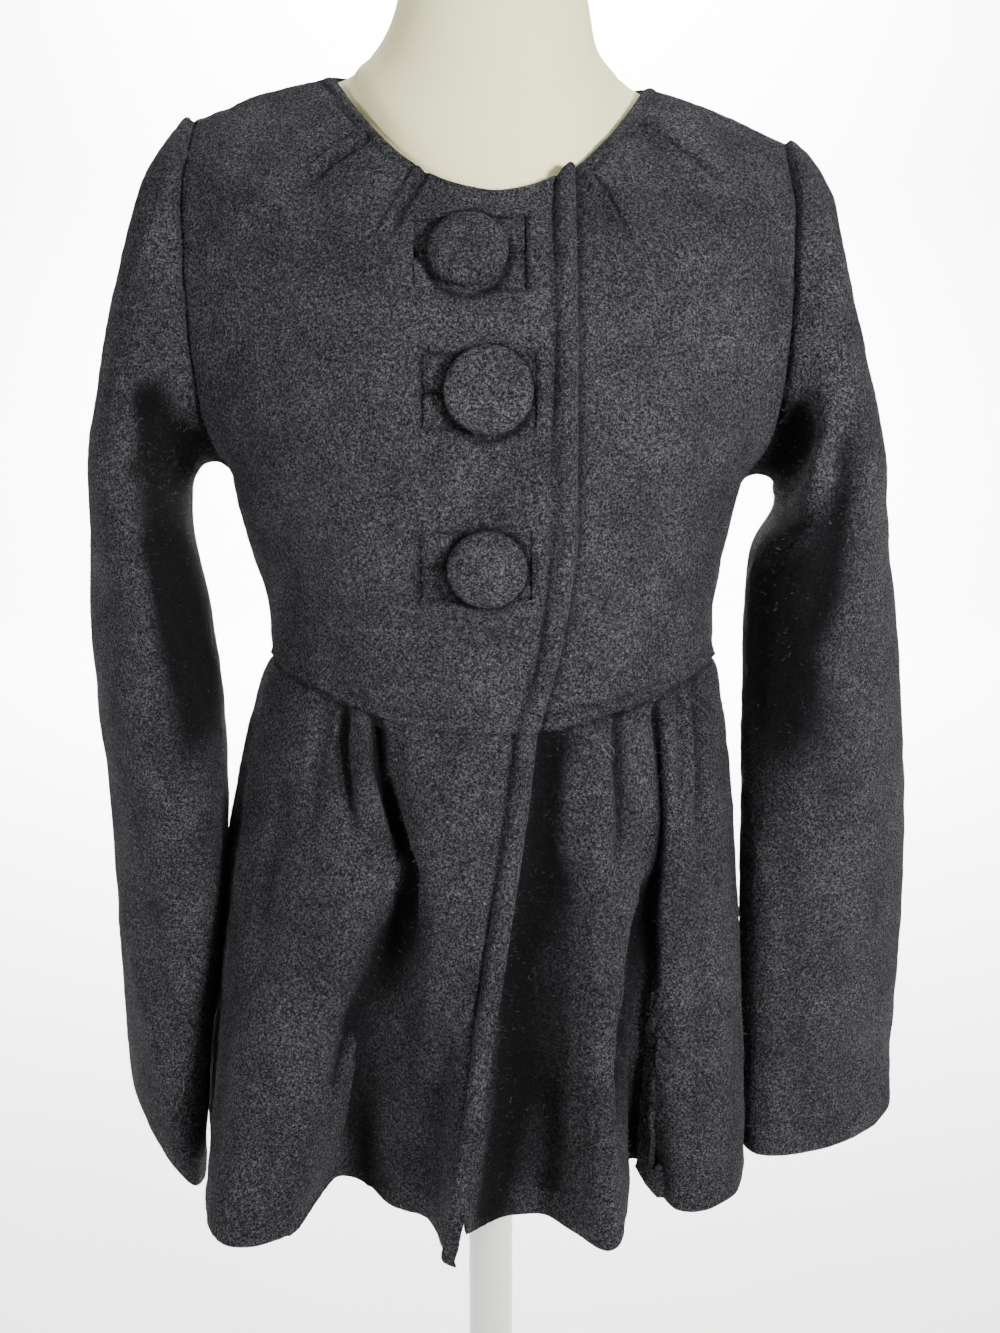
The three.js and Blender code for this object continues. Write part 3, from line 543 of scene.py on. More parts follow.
def ribbedJersey():
    # cotton jersey pulled over foam: faint slanting ribs 1.6 mm apart, a soft pale cream
    material, shader = newMaterial("cottonJerseyRibKnit")
    place = addNode(material, "TexCoord")
    at = addNode(material, "Mapping", [("Vector", place, "Object")], Rotation=(0, 0.5, 0.2))
    ribs = addNode(material, "TexWave", [("Vector", at, "Vector")], Scale=200, Distortion=0.6, Detail=1)
    grain = addNode(material, "TexNoise", [("Vector", place, "Object")], Scale=900, Detail=3)
    shade = addNode(material, "ValToRGB", [("Fac", ribs, "Color")], [(0, "#f5efb6"), (1, "#fffcca")])
    first = addNode(material, "Bump", [("Height", ribs, "Color")], Strength=0.3, Distance=0.0003)
    second = addNode(material, "Bump", [("Height", grain, "Fac"), ("Normal", first, "Normal")],
                     Strength=0.35, Distance=0.0004)
    return dress(material, shader, shade, second, Roughness=0.85, Sheen_Weight=0.2)


def sprayedEnamel():
    # white enamel sprayed on steel: a faint orange peel that softens its highlights
    material, shader = newMaterial("whiteEnamelSprayed")
    place = addNode(material, "TexCoord")
    peel = addNode(material, "TexNoise", [("Vector", place, "Object")], Scale=350, Detail=2)
    shade = addNode(material, "ValToRGB", [("Fac", peel, "Fac")], [(0.3, "#efede7"), (0.7, "#f4f2ed")])
    relief = addNode(material, "Bump", [("Height", peel, "Fac")], Strength=0.12, Distance=0.0002)
    return dress(material, shader, shade, relief, Roughness=0.32)


jersey = ribbedJersey()
enamel = sprayedEnamel()
woolPieces = []


def woolPiece(name, points, nodes, **how):
    o = finished(surface(name, points, **how), wool, nodes)
    woolPieces.append(o)
    return o


def clothOf(points, seed, bumpy=0.45):
    # the felt's own unevenness, slow and fast
    return bumpy * lumps(points, 34, seed) + 0.16 * lumps(points, 9, seed + 1) + 0.12 * lumps(points, 4, seed + 2)


def alongArmhole(u):
    # 1 where a bodice piece ends at the armhole, 0 at its side and shoulder seams
    return smooth(underarm - 0.2, underarm + 0.2, u) * (1 - smooth(tip - 0.15, tip + 0.05, u))


# puffy stitched band down the right front, in mm from its edge
band = {"wide": 13.6, "puff": 4.4, "stitchAt": 13, "stitchDeep": 2.0, "stitchWide": 1.7}


def bandOf(fromEdge):
    # its height, and the painted shade along its stitches
    puff = band["puff"] * np.sin(math.pi * np.clip((fromEdge + 0.6) / band["wide"], 0, 1)) ** 1.1
    groove = dip(fromEdge, band["stitchAt"], band["stitchDeep"], band["stitchWide"])
    return puff + groove + onEdge(fromEdge, 1.2, 1.0), bump(fromEdge, 13.2, 0.6, 1.2)


def lapOf(points):
    return lap["lift"] * smooth(lap["from"], lap["to"], points[..., 0])


buttons = {  # x, z, across and the shift of the opening under it
    "top": (-11, 823, 43, 1), "middle": (0, 752, 47, -5), "bottom": (-1, 658, 43, -6),
}
windowWide, windowHigh = 60, 38  # bound buttonhole
windowSnap = 1.25  # grid lines this near to its border move onto it
tucks = {
    "tuck_right_outer": [(-71, 888), (-90, 877), (-109, 860)],
    "tuck_right_inner": [(-39, 866), (-50, 847), (-61, 826)],
    "tuck_left_inner": [(55, 866), (66, 848), (74, 825)],
    "tuck_left_outer": [(89, 894), (108, 878), (129, 858)],
}
bodiceCreases = {
    -1: [
        fold(0.9, 7, (-160, 735), (-130, 742), (-100, 735)),
        fold(-1.0, 6, (-158, 722), (-135, 726), (-112, 718)),
        fold(-0.7, 8, (-150, 700), (-120, 690), (-90, 672)),
        fold(-0.9, 7, (-165, 850), (-150, 835), (-138, 812)),
        fold(-0.6, 7, (-120, 640), (-80, 652), (-50, 648)),
        fold(0.9, 2.2, (-50, 592), (-33, 586), start=0.3),
        fold(-0.5, 9, (-20, 700), (-60, 705), (-95, 700)),
        fold(-0.5, 8, (-30, 845), (-60, 800), (-72, 770)),
    ],
    1: [
        fold(0.8, 7, (155, 735), (130, 745), (104, 742)),
        fold(-1.0, 6, (152, 718), (128, 716), (108, 704)),
        fold(-0.6, 8, (148, 690), (118, 676), (88, 668)),
        fold(-0.8, 7, (160, 845), (147, 830), (138, 805)),
        fold(-0.7, 6, (125, 630), (100, 622), (70, 628)),
        fold(-0.45, 9, (60, 740), (66, 700), (62, 660)),
    ],
}


def windowShape(points, hole):
    x, z, _, shift = hole
    return abs(points[..., 0] - x - shift) - windowWide / 2, abs(points[..., 2] - z) - windowHigh / 2


def snapped(points, hole):
    # distance out of the opening, once the grid lines beside it have moved onto its border
    x, z, _, shift = hole
    across, up = windowShape(points, hole)
    nearX = (abs(across) < windowSnap) & (up < windowSnap)
    nearZ = (abs(up) < windowSnap) & (across < windowSnap)
    points[..., 0] += np.where(nearX, -across * np.sign(points[..., 0] - x - shift), 0)
    points[..., 2] += np.where(nearZ, -up * np.sign(points[..., 2] - z), 0)
    return np.maximum(*windowShape(points, hole))


def buttonPaintedShadow(points, hole, name):
    # painted shadow: a dark ring where a button would throw its shadow round itself, and how far a spot is towards
    # the opening's free end, where the painted shade inside the opening is strongest
    x, z, across, _ = hole
    far = np.hypot(points[..., 0] - x, points[..., 2] - z + 1.2)
    towards = (points[..., 0] - x) * (1 if name == "top" else -1)
    return bump(far - across / 2, 0.6, 0.85, 2.0), 0.2 + 0.8 * smooth(-4, 8, towards)


def bodiceFront(side):
    isOver = side < 0  # the right front laps the left one
    rows, columns = gridSize["front"]
    points = frontGrid(side, rows, columns)
    n = normalsOf(points)
    fromEdge = reach(points, 1)
    fromSeam = fromEdge[:, -1:] - fromEdge
    fromWaist = reach(points, 0)
    fromNeck = fromWaist[-1:] - fromWaist
    h = clothOf(points, 11 if isOver else 12)
    u = stations(0, neckRow, rows)[:, None]
    armhole = alongArmhole(u)
    if isOver:
        height, hollow = bandOf(fromEdge)
        h += lapOf(points) + height + bump(fromEdge, 6, 0.5, 4) * lumps(points, 9, 40)
        points[..., 2] -= 3 * np.exp(-fromEdge / 4 - fromNeck / 4)  # the top corner turns down
    else:
        # painted shade along the other front's edge, where that edge would shade this one
        hollow = bump(points[..., 0] - frontEdgeX("over", u), 1, 0.62, 3.2)
    h += dip(fromNeck, 8, 1.6, 1.3) + bump(fromNeck, 4, 1.0, 2.8) + onEdge(fromNeck, 1.8, 1.3)
    h += armhole * (dip(fromSeam, 0, 0.35, 1.8) + bump(fromSeam, 6, 0.4, 3))
    h += (1 - armhole) * dip(fromSeam, 0, 0.9, 2)
    pucker = (1 + 0.5 * lumps(points, 13, 90)) * smooth(-2, 26, fromSeam)
    h += pucker * (dip(fromWaist, 0, 1.0, 2.2) + bump(fromWaist, 4.6, 1.7, 2.3) + dip(fromWaist, 9, 1.0, 1.3))
    # painted shade along the waist seam and in its puckers
    hollow += bump(fromWaist, 0, 0.55, 1.6) + pucker * bump(fromWaist, 9, 0.35, 1.2)
    for made in bodiceCreases[side]:
        h += 1.4 * crease(points, n, **made)
    for name, path in tucks.items():
        if (path[0][0] < 0) == isOver:
            d, which, run = toPath(points, path)
            fade = 1 - smooth(0.55, 1, run)
            groove = bump(d * which, -4.4, 1, 1.5)
            h += fade * (bump(d, 0, 2.9, 2.3) - 2.4 * groove + dip(d * which, 4, 0.9, 1.3))
            # painted shade in the tuck's groove
            hollow += 0.7 * fade * groove
    keep = None
    if isOver:
        keep = np.ones(points.shape[:2], bool)
        for name, hole in buttons.items():
            out = snapped(points, hole)
            beyond = np.clip(out, 0, None)
            h += np.where(out > -0.01, bump(out, 4, 0.8, 2.4) + onEdge(beyond, 0.9, 1.4), 0)
            ring, free = buttonPaintedShadow(points, hole, name)
            # painted shadow round the button, and painted shade inside the opening, darkest towards its free end
            hollow += 0.6 * free * np.exp(-beyond / 1.2) + ring
            keep &= out > 0.02
    points = points + n * h[..., None]
    name = "bodiceFrontRight" if isOver else "bodiceFrontLeft"
    nodes = ["front_right_bodice", "tuck_right_outer", "tuck_right_inner"] if isOver else [
        "front_left_bodice", "tuck_left_inner", "tuck_left_outer"]
    woolPiece(name, points, nodes, keep=keep, hollow=np.clip(hollow, 0, 0.9))


for side in (-1, 1):
    bodiceFront(side)
print("bodice fronts")

backCreases = [
    fold(-0.9, 7, (-150, 740), (-110, 728), (-70, 735), faces=1),
    fold(-0.9, 7, (150, 736), (112, 722), (72, 728), faces=1),
    fold(-0.7, 8, (-120, 640), (-60, 655), (0, 648), faces=1),
    fold(-0.7, 7, (20, 640), (70, 652), (118, 636), faces=1),
    fold(-0.8, 8, (-150, 850), (-128, 830), (-118, 800), faces=1),
    fold(-0.8, 8, (152, 842), (130, 824), (120, 796), faces=1),
    fold(-0.6, 7, (-40, 880), (0, 868), (42, 878), faces=1),
]


def bodiceBack():
    rows, columns = gridSize["back"]
    points = backGrid(rows, columns)
    n = normalsOf(points)
    along = reach(points, 1)
    fromSeam = np.minimum(along, along[:, -1:] - along)
    fromWaist = reach(points, 0)
    fromNeck = fromWaist[-1:] - fromWaist
    armhole = alongArmhole(stations(0, neckRow, rows)[:, None])
    h = clothOf(points, 21)
    h += dip(fromNeck, 7.6, 0.9, 0.9) + onEdge(fromNeck, 1.6, 1.3)
    h += armhole * dip(fromSeam, 0, 1.0, 2.6) + (1 - armhole) * dip(fromSeam, 0, 0.9, 2)
    h += dip(fromWaist, 0, 1.1, 2) + bump(fromWaist, 4.5, 0.8, 2.2)
    h += dip(points[..., 0], 1.5, 1.0, 1.8)  # centre back seam
    for made in backCreases:
        h += crease(points, n, **made)
    points = points + n * h[..., None]
    woolPiece("bodiceBack", points, ["back_bodice"])


bodiceBack()
print("bodice back")

peplums = {
    "peplumFrontRight": dict(
        folds=rightPeplumFolds, isFront=True, node="front_right_peplum", seed=31,
        creases=[
            fold(-7, (5, 4), (-81, 576), (-84, 555), (-82, 540), (-77, 512), (-75, 488), start=0.02, end=0.6),
            fold(-12, (4, 5), (-65, 575), (-62, 539), (-54, 513), (-46, 485), (-51, 454), (-62, 423),
                 start=0.02, end=0.3),
            fold(-6.5, (9, 17), (-47, 480), (-51, 454), (-62, 423), (-75, 395), (-81, 364), (-80, 327),
                 (-76, 290), start=0.25, end=0.02),
            fold(3.5, 4.5, (-70, 573), (-66, 540), (-62, 500), (-62, 450), start=0.05, end=0.6),
            fold(2.0, 7, (-46, 568), (-40, 530), (-34, 480), start=0.05, end=0.7),
            fold(-3.0, (5, 8), (-93, 577), (-99, 540), (-106, 480), start=0.05, end=0.7),
            fold(-2.4, (5, 9), (-118, 540), (-128, 480), (-136, 420)),
            fold(-3.0, 8, (-150, 420), (-158, 370), (-164, 310), start=0.4, end=0.1),
            fold(-2.6, 9, (-20, 400), (-30, 350), (-36, 290), end=0.1),
        ]),
    "peplumFrontLeft": dict(
        folds=leftPeplumFolds, isFront=True, node="front_left_peplum", seed=32,
        creases=[
            fold(-9, (12, 14), (40, 576), (36, 560), (33, 542), (30, 513), (26, 484), (21, 458), (16, 429),
                 (15, 387), (14, 350), (10, 322), (4, 285), start=0.1, end=0.02),
            fold(-6, (4, 6), (72, 576), (73, 538), (76, 509), (71, 483), (70, 450), start=0.02, end=0.6),
            fold(-8, (2.8, 4.5), (95, 582), (97, 537), (98, 508), (94, 478), (88, 449), (85, 420),
                 start=0.02, end=0.2),
            fold(-7, (6, 11), (94, 478), (88, 449), (85, 420), (80, 395), (78, 368), (82, 329), (90, 290),
                 start=0.3, end=0.02),
            fold(-3.2, (2.4, 3.4), (108, 583), (111, 545), (107, 490), start=0.02, end=0.5),
            fold(-5.5, (3, 5), (119, 585), (122, 536), (122, 504), (120, 470), start=0.02, end=0.6),
            fold(3, 5, (86, 580), (87, 535), (82, 470), (74, 420), start=0.05, end=0.5),
            fold(2.4, 4, (102, 583), (104, 540), (100, 480), start=0.05, end=0.6),
            fold(2.2, 3.6, (115, 583), (117, 540), (114, 480), start=0.05, end=0.6),
            fold(3, 9, (60, 575), (63, 523), (62, 484), (61, 450), (68, 411), (64, 367), start=0.05, end=0.3),
            fold(-4.5, 11, (44, 500), (40, 430), (34, 350), (34, 290), end=0.05),
            fold(-2.6, 8, (125, 470), (124, 400), (122, 320)),
        ]),
    "peplumBack": dict(
        folds=backPeplumFolds, isFront=False, node="back_peplum", seed=33,
        creases=[fold(high * 1.7, 3.8, (x, 584), (x * 1.03, 545), (x * 1.08, 480), faces=1, start=0.02, end=0.7)
                 for x, high in ((-96, -2.6), (-82, -3.0), (-70, 1.4), (-36, -2.8), (-24, 1.3), (15, -3.0),
                                 (30, 1.4), (66, -2.6), (80, -2.8), (92, 1.3))]),
}


def peplum(name, folds, isFront, node, seed, creases):
    rows, columns = gridSize["peplumFront" if isFront else "peplumBack"]
    points = peplumGrid(folds, isFront, rows, columns)
    points[0, :, 2] -= 0.5
    n = normalsOf(points)
    n[(n * (points * (1, 1, 0))).sum(-1) < 0] *= -1
    fromEdge = reach(points, 1)
    fromSide = fromEdge[:, -1:] - fromEdge
    fromSeam = reach(points, 0)
    fromHem = fromSeam[-1:] - fromSeam
    h = clothOf(points, seed, 0.5)
    # painted shade along the waist seam
    hollow = bump(fromSeam, 0, 0.5, 1.6)
    if name == "peplumFrontRight":
        height, shade = bandOf(fromEdge)
        h += lapOf(points) * (1 - smooth(0.1, 0.45, stations(0, 1, rows)[:, None])) + height
        # painted shade along the band's stitches
        hollow += shade
    h += dip(fromSide if isFront else np.minimum(fromEdge, fromSide), 0, 0.9, 2)
    h += dip(fromSeam, 0, 0.7, 2.2) + onEdge(fromHem, 1.2, 1.2) + bump(fromHem, 5, 0.6, 4)
    pleats = sum(crease(points, n, **made) for made in creases)
    # painted shade in the pleats' valleys, darker the deeper they sink
    hollow = np.clip(hollow + 0.94 * smooth(0.5, 7.5, -pleats), 0, 0.94)
    points = points + n * (h + pleats * smooth(0, 9, fromSeam))[..., None]  # sewn flat at the seam
    under = points[:1] - n[:1] * 2 + (0, 0, 5)
    woolPiece(name, np.concatenate([under, points]), [node], angle=60,
              hollow=np.concatenate([hollow[:1], hollow]))


for name, made in peplums.items():
    peplum(name, **made)
print("peplum")

# broad painted shade where a sleeve turns in to the body, as paths at x and z; these move no cloth
sleevePaintedShade = {
    -1: fold(-5, 22, (-180, 680), (-174, 620), (-168, 540), (-168, 470), start=0.3, end=0.5),
    1: fold(-6, 27, (184, 700), (178, 640), (172, 580), (172, 520), (178, 450), start=0.2, end=0.5),
}
sleeveCreases = {
    -1: [
        fold(2.4, 5, (-176, 886), (-184, 846), (-196, 824), (-211, 786), start=0.05, end=0.5),
        fold(-2, 4, (-173, 868), (-177, 845), (-188, 815), end=0.5),
        fold(-12, (9, 12), (-205, 760), (-192, 744), (-183, 719), (-176, 697), start=0.4, end=0.02),
        fold(-9, (15, 34), (-187, 730), (-184, 697), (-182, 665), (-174, 618), (-168, 577), (-168, 520),
             start=0.1, end=0.5),
        fold(-2.4, 7, (-178, 700), (-200, 704), (-226, 690), start=0.02),
        fold(-1.8, 8, (-176, 668), (-196, 660), (-222, 664)),
        fold(-1.6, 8, (-232, 640), (-216, 620), (-196, 612)),
        fold(2.6, 7, (-225, 452), (-214, 400), (-201, 355), (-180, 285), start=0.2, end=0.1),
        fold(-2.6, 9, (-204, 470), (-196, 410), (-184, 350)),
        fold(-1.6, 8, (-168, 560), (-180, 536), (-204, 530)),
        fold(-1.4, 9, (-222, 520), (-206, 500), (-186, 496)),
    ],
    1: [
        fold(1.8, 5.5, (178, 880), (186, 848), (196, 820), (204, 780), start=0.05, end=0.5),
        fold(-12, (10, 10), (176, 752), (173, 735), (174, 720), (170, 697), (162, 672), start=0.3, end=0.05),
        fold(6, 7, (196, 750), (191, 722), (184, 700), (172, 675), start=0.3, end=0.2),
        fold(-7, (9, 13), (203, 752), (200, 722), (199, 701), (195, 667), (188, 632), (180, 590),
             start=0.3, end=0.4),
        fold(-6, (22, 16), (168, 664), (166, 620), (168, 560), (172, 500), start=0.2, end=0.6),
        fold(-1.6, 8, (172, 640), (190, 632), (216, 640)),
        fold(-2.2, 11, (180, 600), (196, 550), (204, 480)),
        fold(1.8, 11, (226, 600), (232, 520), (228, 440)),
        fold(-3, 11, (172, 500), (182, 430), (190, 350), (196, 285), end=0.1),
        fold(1.6, 9, (206, 440), (212, 380), (214, 300)),
    ],
}


def evened(points, share, times=90):
    # relaxes a grid that is closed round, where share is above 0, and leaves its first and last rows
    for k in range(times):
        along = points.copy()
        along[1:-1] = (points[:-2] + points[2:]) / 2
        around = (np.roll(points, 1, 1) + np.roll(points, -1, 1)) / 2
        points = points + share[..., None] * ((along + around) / 2 - points)
    return points


def sleeve(side, tube, name, node):
    rows, columns = gridSize["sleeve"]
    points = sleeveGrid(side, tube, rows, columns)
    n = normalsOf(points, True)
    fromHead = reach(points, 0)
    fromCuff = fromHead[-1:] - fromHead
    h = clothOf(points, 51 if side < 0 else 52, 0.4)
    h += dip(fromHead, 0, 0.35, 1.8) + bump(fromHead, 7, 0.3, 3.6)
    h += dip(fromCuff, 22, 0.9, 1.1) + onEdge(fromCuff, 1.3, 1.3) + bump(fromCuff, 10, 0.5, 8)
    h += dip(reach(points, 1), 0, 0.9, 1.6)  # underarm seam
    folds = sum(crease(points, n, **made) + 0.5 * crease(points, n, **{**made, "faces": 1})
                for made in sleeveCreases[side])
    # right under the arm the cloth is too tightly curved to take a deep fold
    folds *= 1 - (1 - smooth(-0.1, 0.5, -n[..., 1])) * bump(fromHead, 0, 1, 42)
    if side < 0:
        # this one lies against the coat's skirt
        h += smooth(0.2, 0.9, n[..., 0]) * bump(points[..., 2], 440, 2.2, 70)
    # painted shade in the sleeve's folds and where it turns in to the body, read with normals turned to the front
    # so that it reaches the sleeve's sides
    turnedIn = n - (0, 0.4, 0)
    paintedShadeDepth = sum(crease(points, turnedIn, **made) for made in sleeveCreases[side] + [sleevePaintedShade[side]])
    hollow = 0.95 * smooth(0.4, 9, -paintedShadeDepth)
    points = points + n * (h + folds * smooth(1, 18, fromHead))[..., None]
    fromUnderarm = 1 - abs(1 - np.arange(columns) * 2 / columns)  # 0 under the arm, 1 at the shoulder
    near = (1 - smooth(0.12, 0.4, fromUnderarm)) * smooth(0, 6, fromHead) * bump(fromHead, 24, 1, 24)
    points = evened(points, 0.9 * near)
    head = points[:1]
    under = head + (head.mean(axis=1, keepdims=True) - head) * 0.05 - (side * 4, 0, 0)
    woolPiece(name, np.concatenate([under, points]), [node], isRound=True,
              hollow=np.concatenate([hollow[:1], hollow]))


sleeve(-1, rightSleeveTube, "sleeveRight", "sleeve_right")
sleeve(1, leftSleeveTube, "sleeveLeft", "sleeve_left")
print("sleeves")


def frontSpot(x, z):
    # the right front's face at x and z, and the way out of it
    x, z = np.broadcast_arrays(np.asarray(x, float), np.asarray(z, float))
    low, high = np.zeros(x.shape), np.full(x.shape, float(neckRow))
    for k in range(24):
        u = (low + high) / 2
        under = torso(True, u, np.clip(tForX(u, x), -1, 1))[..., 2] < z
        low, high = np.where(under, u, low), np.where(under, high, u)
    t = tForX(low, x)
    p = torso(True, low, t)
    right = torso(True, low, t + 0.01) - torso(True, low, t - 0.01)
    up = torso(True, low + 0.02, t) - torso(True, low - 0.02, t)
    n = np.cross(right, up)
    return p, n / np.linalg.norm(n, axis=-1, keepdims=True)


# lips of the bound buttonholes, each a folded strip that is plump along the slit
lip = {"gap": 0.3, "thick": 1.8, "below": 1.3}  # below is under the face of the front
for name, hole in buttons.items():
    x, z, _, shift = hole
    rows, columns = gridSize["lip"]
    g = stations(0, 1, columns)[None, :]
    for part, way in (("upper", 1), ("lower", -1)):
        f = stations(0, 1, rows)[:, None]
        f = f if way > 0 else 1 - f[::-1]
        low, high = sorted((way * lip["gap"], way * (windowHigh / 2 - lip["gap"])))
        up = low + (high - low) * f
        p, n = frontSpot(x + shift + (g - 0.5) * (windowWide - 2 * lip["gap"]), z + up)
        fromSlit = abs(up)
        fromRim = np.minimum(windowHigh / 2 - fromSlit, (0.5 - abs(g - 0.5)) * windowWide)
        h = lap["lift"] - lip["below"] + 0.35 * lumps(p, 9, 61) + 0.15 * lumps(p, 4, 62)
        h = h + onEdge(fromSlit, 2.4, 1.6) + onEdge(fromRim, 1.0, 1.8) + bump(fromSlit, 5, 0.5, 3)
        # painted shadow round the button, and painted shade along the slit and rim, darkest towards the opening's
        # free end
        ring, free = buttonPaintedShadow(p, hole, name)
        hollow = np.clip(free * (0.75 * np.exp(-fromSlit / 1.5) + 0.6 * np.exp(-fromRim / 1.4)) + ring, 0, 0.95)
        o = woolPiece("lip_%s_%s" % (name, part), p + n * h[..., None], ["welt_%s_%s" % (name, part)],
                      thick=lip["thick"], hollow=hollow)

# covered buttons: a shell's dome with wool drawn round its rim
dome = {"high": 8.4, "under": 2.2, "seat": 3.4, "gathers": 23}
for name, (x, z, across, _) in buttons.items():
    pick()
    bpy.ops.mesh.primitive_uv_sphere_add(segments=88, ring_count=44, radius=1, location=(0, 0, 0))
    o = bpy.context.object
    o.name = "button_" + name
    co = coordinates(o)
    flat = np.clip(np.hypot(co[:, 0], co[:, 1]), 0, 1)
    turn = np.arctan2(co[:, 1], co[:, 0])
    isTop = co[:, 2] > 0
    height = np.where(isTop, dome["high"] * abs(co[:, 2]) ** 0.85, -dome["under"] * abs(co[:, 2]) ** 0.5)
    wide = np.where(isTop, flat ** 0.92, flat) * (across / 2 + 0.2)
    gather = 0.22 * np.sin(turn * dome["gathers"] + 1.3 * np.sin(turn * 5)) * smooth(0.75, 1, flat)
    wide = wide + gather * (1 - smooth(-1, 4, height) * 0.6)
    local = np.stack([np.cos(turn) * wide, np.sin(turn) * wide, height + lap["lift"] + dome["seat"]], -1)
    wobble = (0.3 * lumps(local, 14, 70) + 0.16 * lumps(local, 5, 71)) * smooth(-2, 2, height)
    outward = np.stack([np.cos(turn) * flat * 0.5, np.sin(turn) * flat * 0.5, 1 - 0.5 * flat], -1)
    local += wobble[:, None] * outward
    spot, n = frontSpot(x, z)
    right = np.cross((0, 0, 1), n)
    right /= np.linalg.norm(right)
    world = spot + local @ np.stack([right, np.cross(n, right), n])
    o.data.vertices.foreach_set("co", (world / 1000).reshape(-1))
    o.data.update()
    pick(o)
    bpy.ops.object.shade_smooth_by_angle(angle=math.radians(60))
    finished(o, buttonWool, ["button_" + name])
print("buttons and buttonholes")


# dress form: foam under jersey with two stitched neck seams, on a pole and a round base
def ovalRing(angle, middle, half, front, back, frontZ, sideZ, backZ):
    isFront = abs(angle) <= math.pi / 2
    lean = abs(np.cos(angle)) ** 1.3
    y = abs(np.cos(angle)) * np.where(isFront, front, back)
    z = sideZ + (np.where(isFront, frontZ, backZ) - sideZ) * lean
    return np.stack([middle + half * np.sin(angle), y, z], -1)


def dressForm():
    rows, columns = gridSize["form"]
    angle = np.arange(columns) * 2 * math.pi / columns - math.pi
    isFront = abs(angle) <= math.pi / 2
    t = np.where(isFront, angle * 2 / math.pi, np.sign(angle) * (2 - abs(angle) * 2 / math.pi))
    rings = [ovalRing(angle, 0, half, front, back, z, z, z) for z, half, front, back in
             zip(*(formHips[name] for name in ("z", "half", "front", "back")))]
    for u in (0.2, 1, 2, 3, 4, 5, 6, 7, 8, 8.6, 9.2, 10):
        body = np.where(isFront[:, None], torso(True, u, t), torso(False, u, t))
        way = body * (1, 1, 0)
        way[:, 2] = 90 * smooth(7, 9, u)
        inset = 8.0 - 3.2 * smooth(7.4, 8, u) + smooth(9, 10, u)
        rings.append(body - way / np.linalg.norm(way, axis=1, keepdims=True) * inset)
    names = ("middle", "half", "front", "back", "frontZ", "sideZ", "backZ")
    rings += [ovalRing(angle, *row) for row in zip(*(formNeck[name] for name in names))]
    points = skin(rings, np.linspace(0, len(rings) - 1, rows))
    n = normalsOf(points, True)
    for path in ([(-67, 1000), (-62, 975), (-62, 958), (-72, 935), (-84, 915)],
                 [(60, 1000), (62, 972), (64, 955), (70, 938), (82, 918)]):
        d, side, run = toPath(points, path)
        stitch = 0.6 + 0.4 * np.sin(points[..., 2] * 2 * math.pi / 2.6)
        rise = stitch * bump(d, 0, 0.9, 0.8) + dip(d, 2, 0.5, 0.9)
        points = points + n * (rise * smooth(-0.35, 0.1, -n[..., 1]))[..., None]
    closed = [ring * (0.13, 0.13, 1) for ring in (points[0], points[-1])]
    return np.concatenate([closed[:1], points, closed[1:]])


o = surface("dressForm", dressForm(), True, thick=1.5, angle=40)
finished(o, jersey, ["form_body"])


def turned(name, radius, low, high, bevel, node, material, squash=1, x=0, y=0):
    pick()
    bpy.ops.mesh.primitive_cylinder_add(vertices=128, radius=radius, depth=high - low,
                                        location=(x, y, (low + high) / 2), scale=(1, squash, 1))
    o = bpy.context.object
    o.name = name
    bpy.ops.object.transform_apply(location=True, rotation=True, scale=True)
    if bevel:
        applied(o, "BEVEL", width=bevel, segments=4, limit_method="ANGLE", angle_limit=math.radians(60))
    bpy.ops.object.shade_smooth_by_angle(angle=math.radians(35))
    finished(o, material, [node])


turned("neckCap", 0.051, 1.0043, 1.0103, 0.0018, "form_neck_cap", jersey, 0.875, 0.002, -0.0015)
turned("standPole", 0.014, 0.0183, 0.3447, 0, "form_pole", enamel)
turned("standBase", 0.15, 0, 0.018, 0.005, "form_base", enamel)
print("dress form and stand")


# loose fibres of the felt, and a few pale lint threads
def ribbons(name, starts, ways, bends, wide, parts, material):
    steps = np.linspace(0, 1, parts + 1)[None, :, None]
    spine = starts[:, None] + ways[:, None] * steps + bends[:, None] * (steps * (1 - steps) * 2.2)
    cross = np.cross(ways, bends)
    cross /= np.maximum(np.linalg.norm(cross, axis=1, keepdims=True), 1e-9)
    taper = wide * (1 - 0.7 * steps ** 2)
    left, right = spine + cross[:, None] * taper, spine - cross[:, None] * taper
    verts = np.stack([left, right], 2).reshape(-1, 3) / 1000
    base = (np.arange(len(starts)) * (parts + 1) * 2)[:, None] + np.arange(parts)[None] * 2
    base = base.reshape(-1)
    faces = np.stack([base, base + 1, base + 3, base + 2], 1)
    mesh = bpy.data.meshes.new(name)
    mesh.from_pydata(verts.tolist(), [], faces.tolist())
    o = bpy.data.objects.new(name, mesh)
    bpy.context.collection.objects.link(o)
    mesh.shade_smooth()
    o.data.materials.append(material)
    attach(o, "root")
    return o


def strayHair(name, colour):
    # single wool hairs standing off the cloth, they soften every outline
    material, shader = newMaterial(name)
    place = addNode(material, "TexCoord")
    tone = addNode(material, "TexNoise", [("Vector", place, "Object")], Scale=220)
    shade = addNode(material, "ValToRGB", [("Fac", tone, "Fac")], [(0.3, colour[0]), (0.7, colour[1])])
    return dress(material, shader, shade, Roughness=0.8)


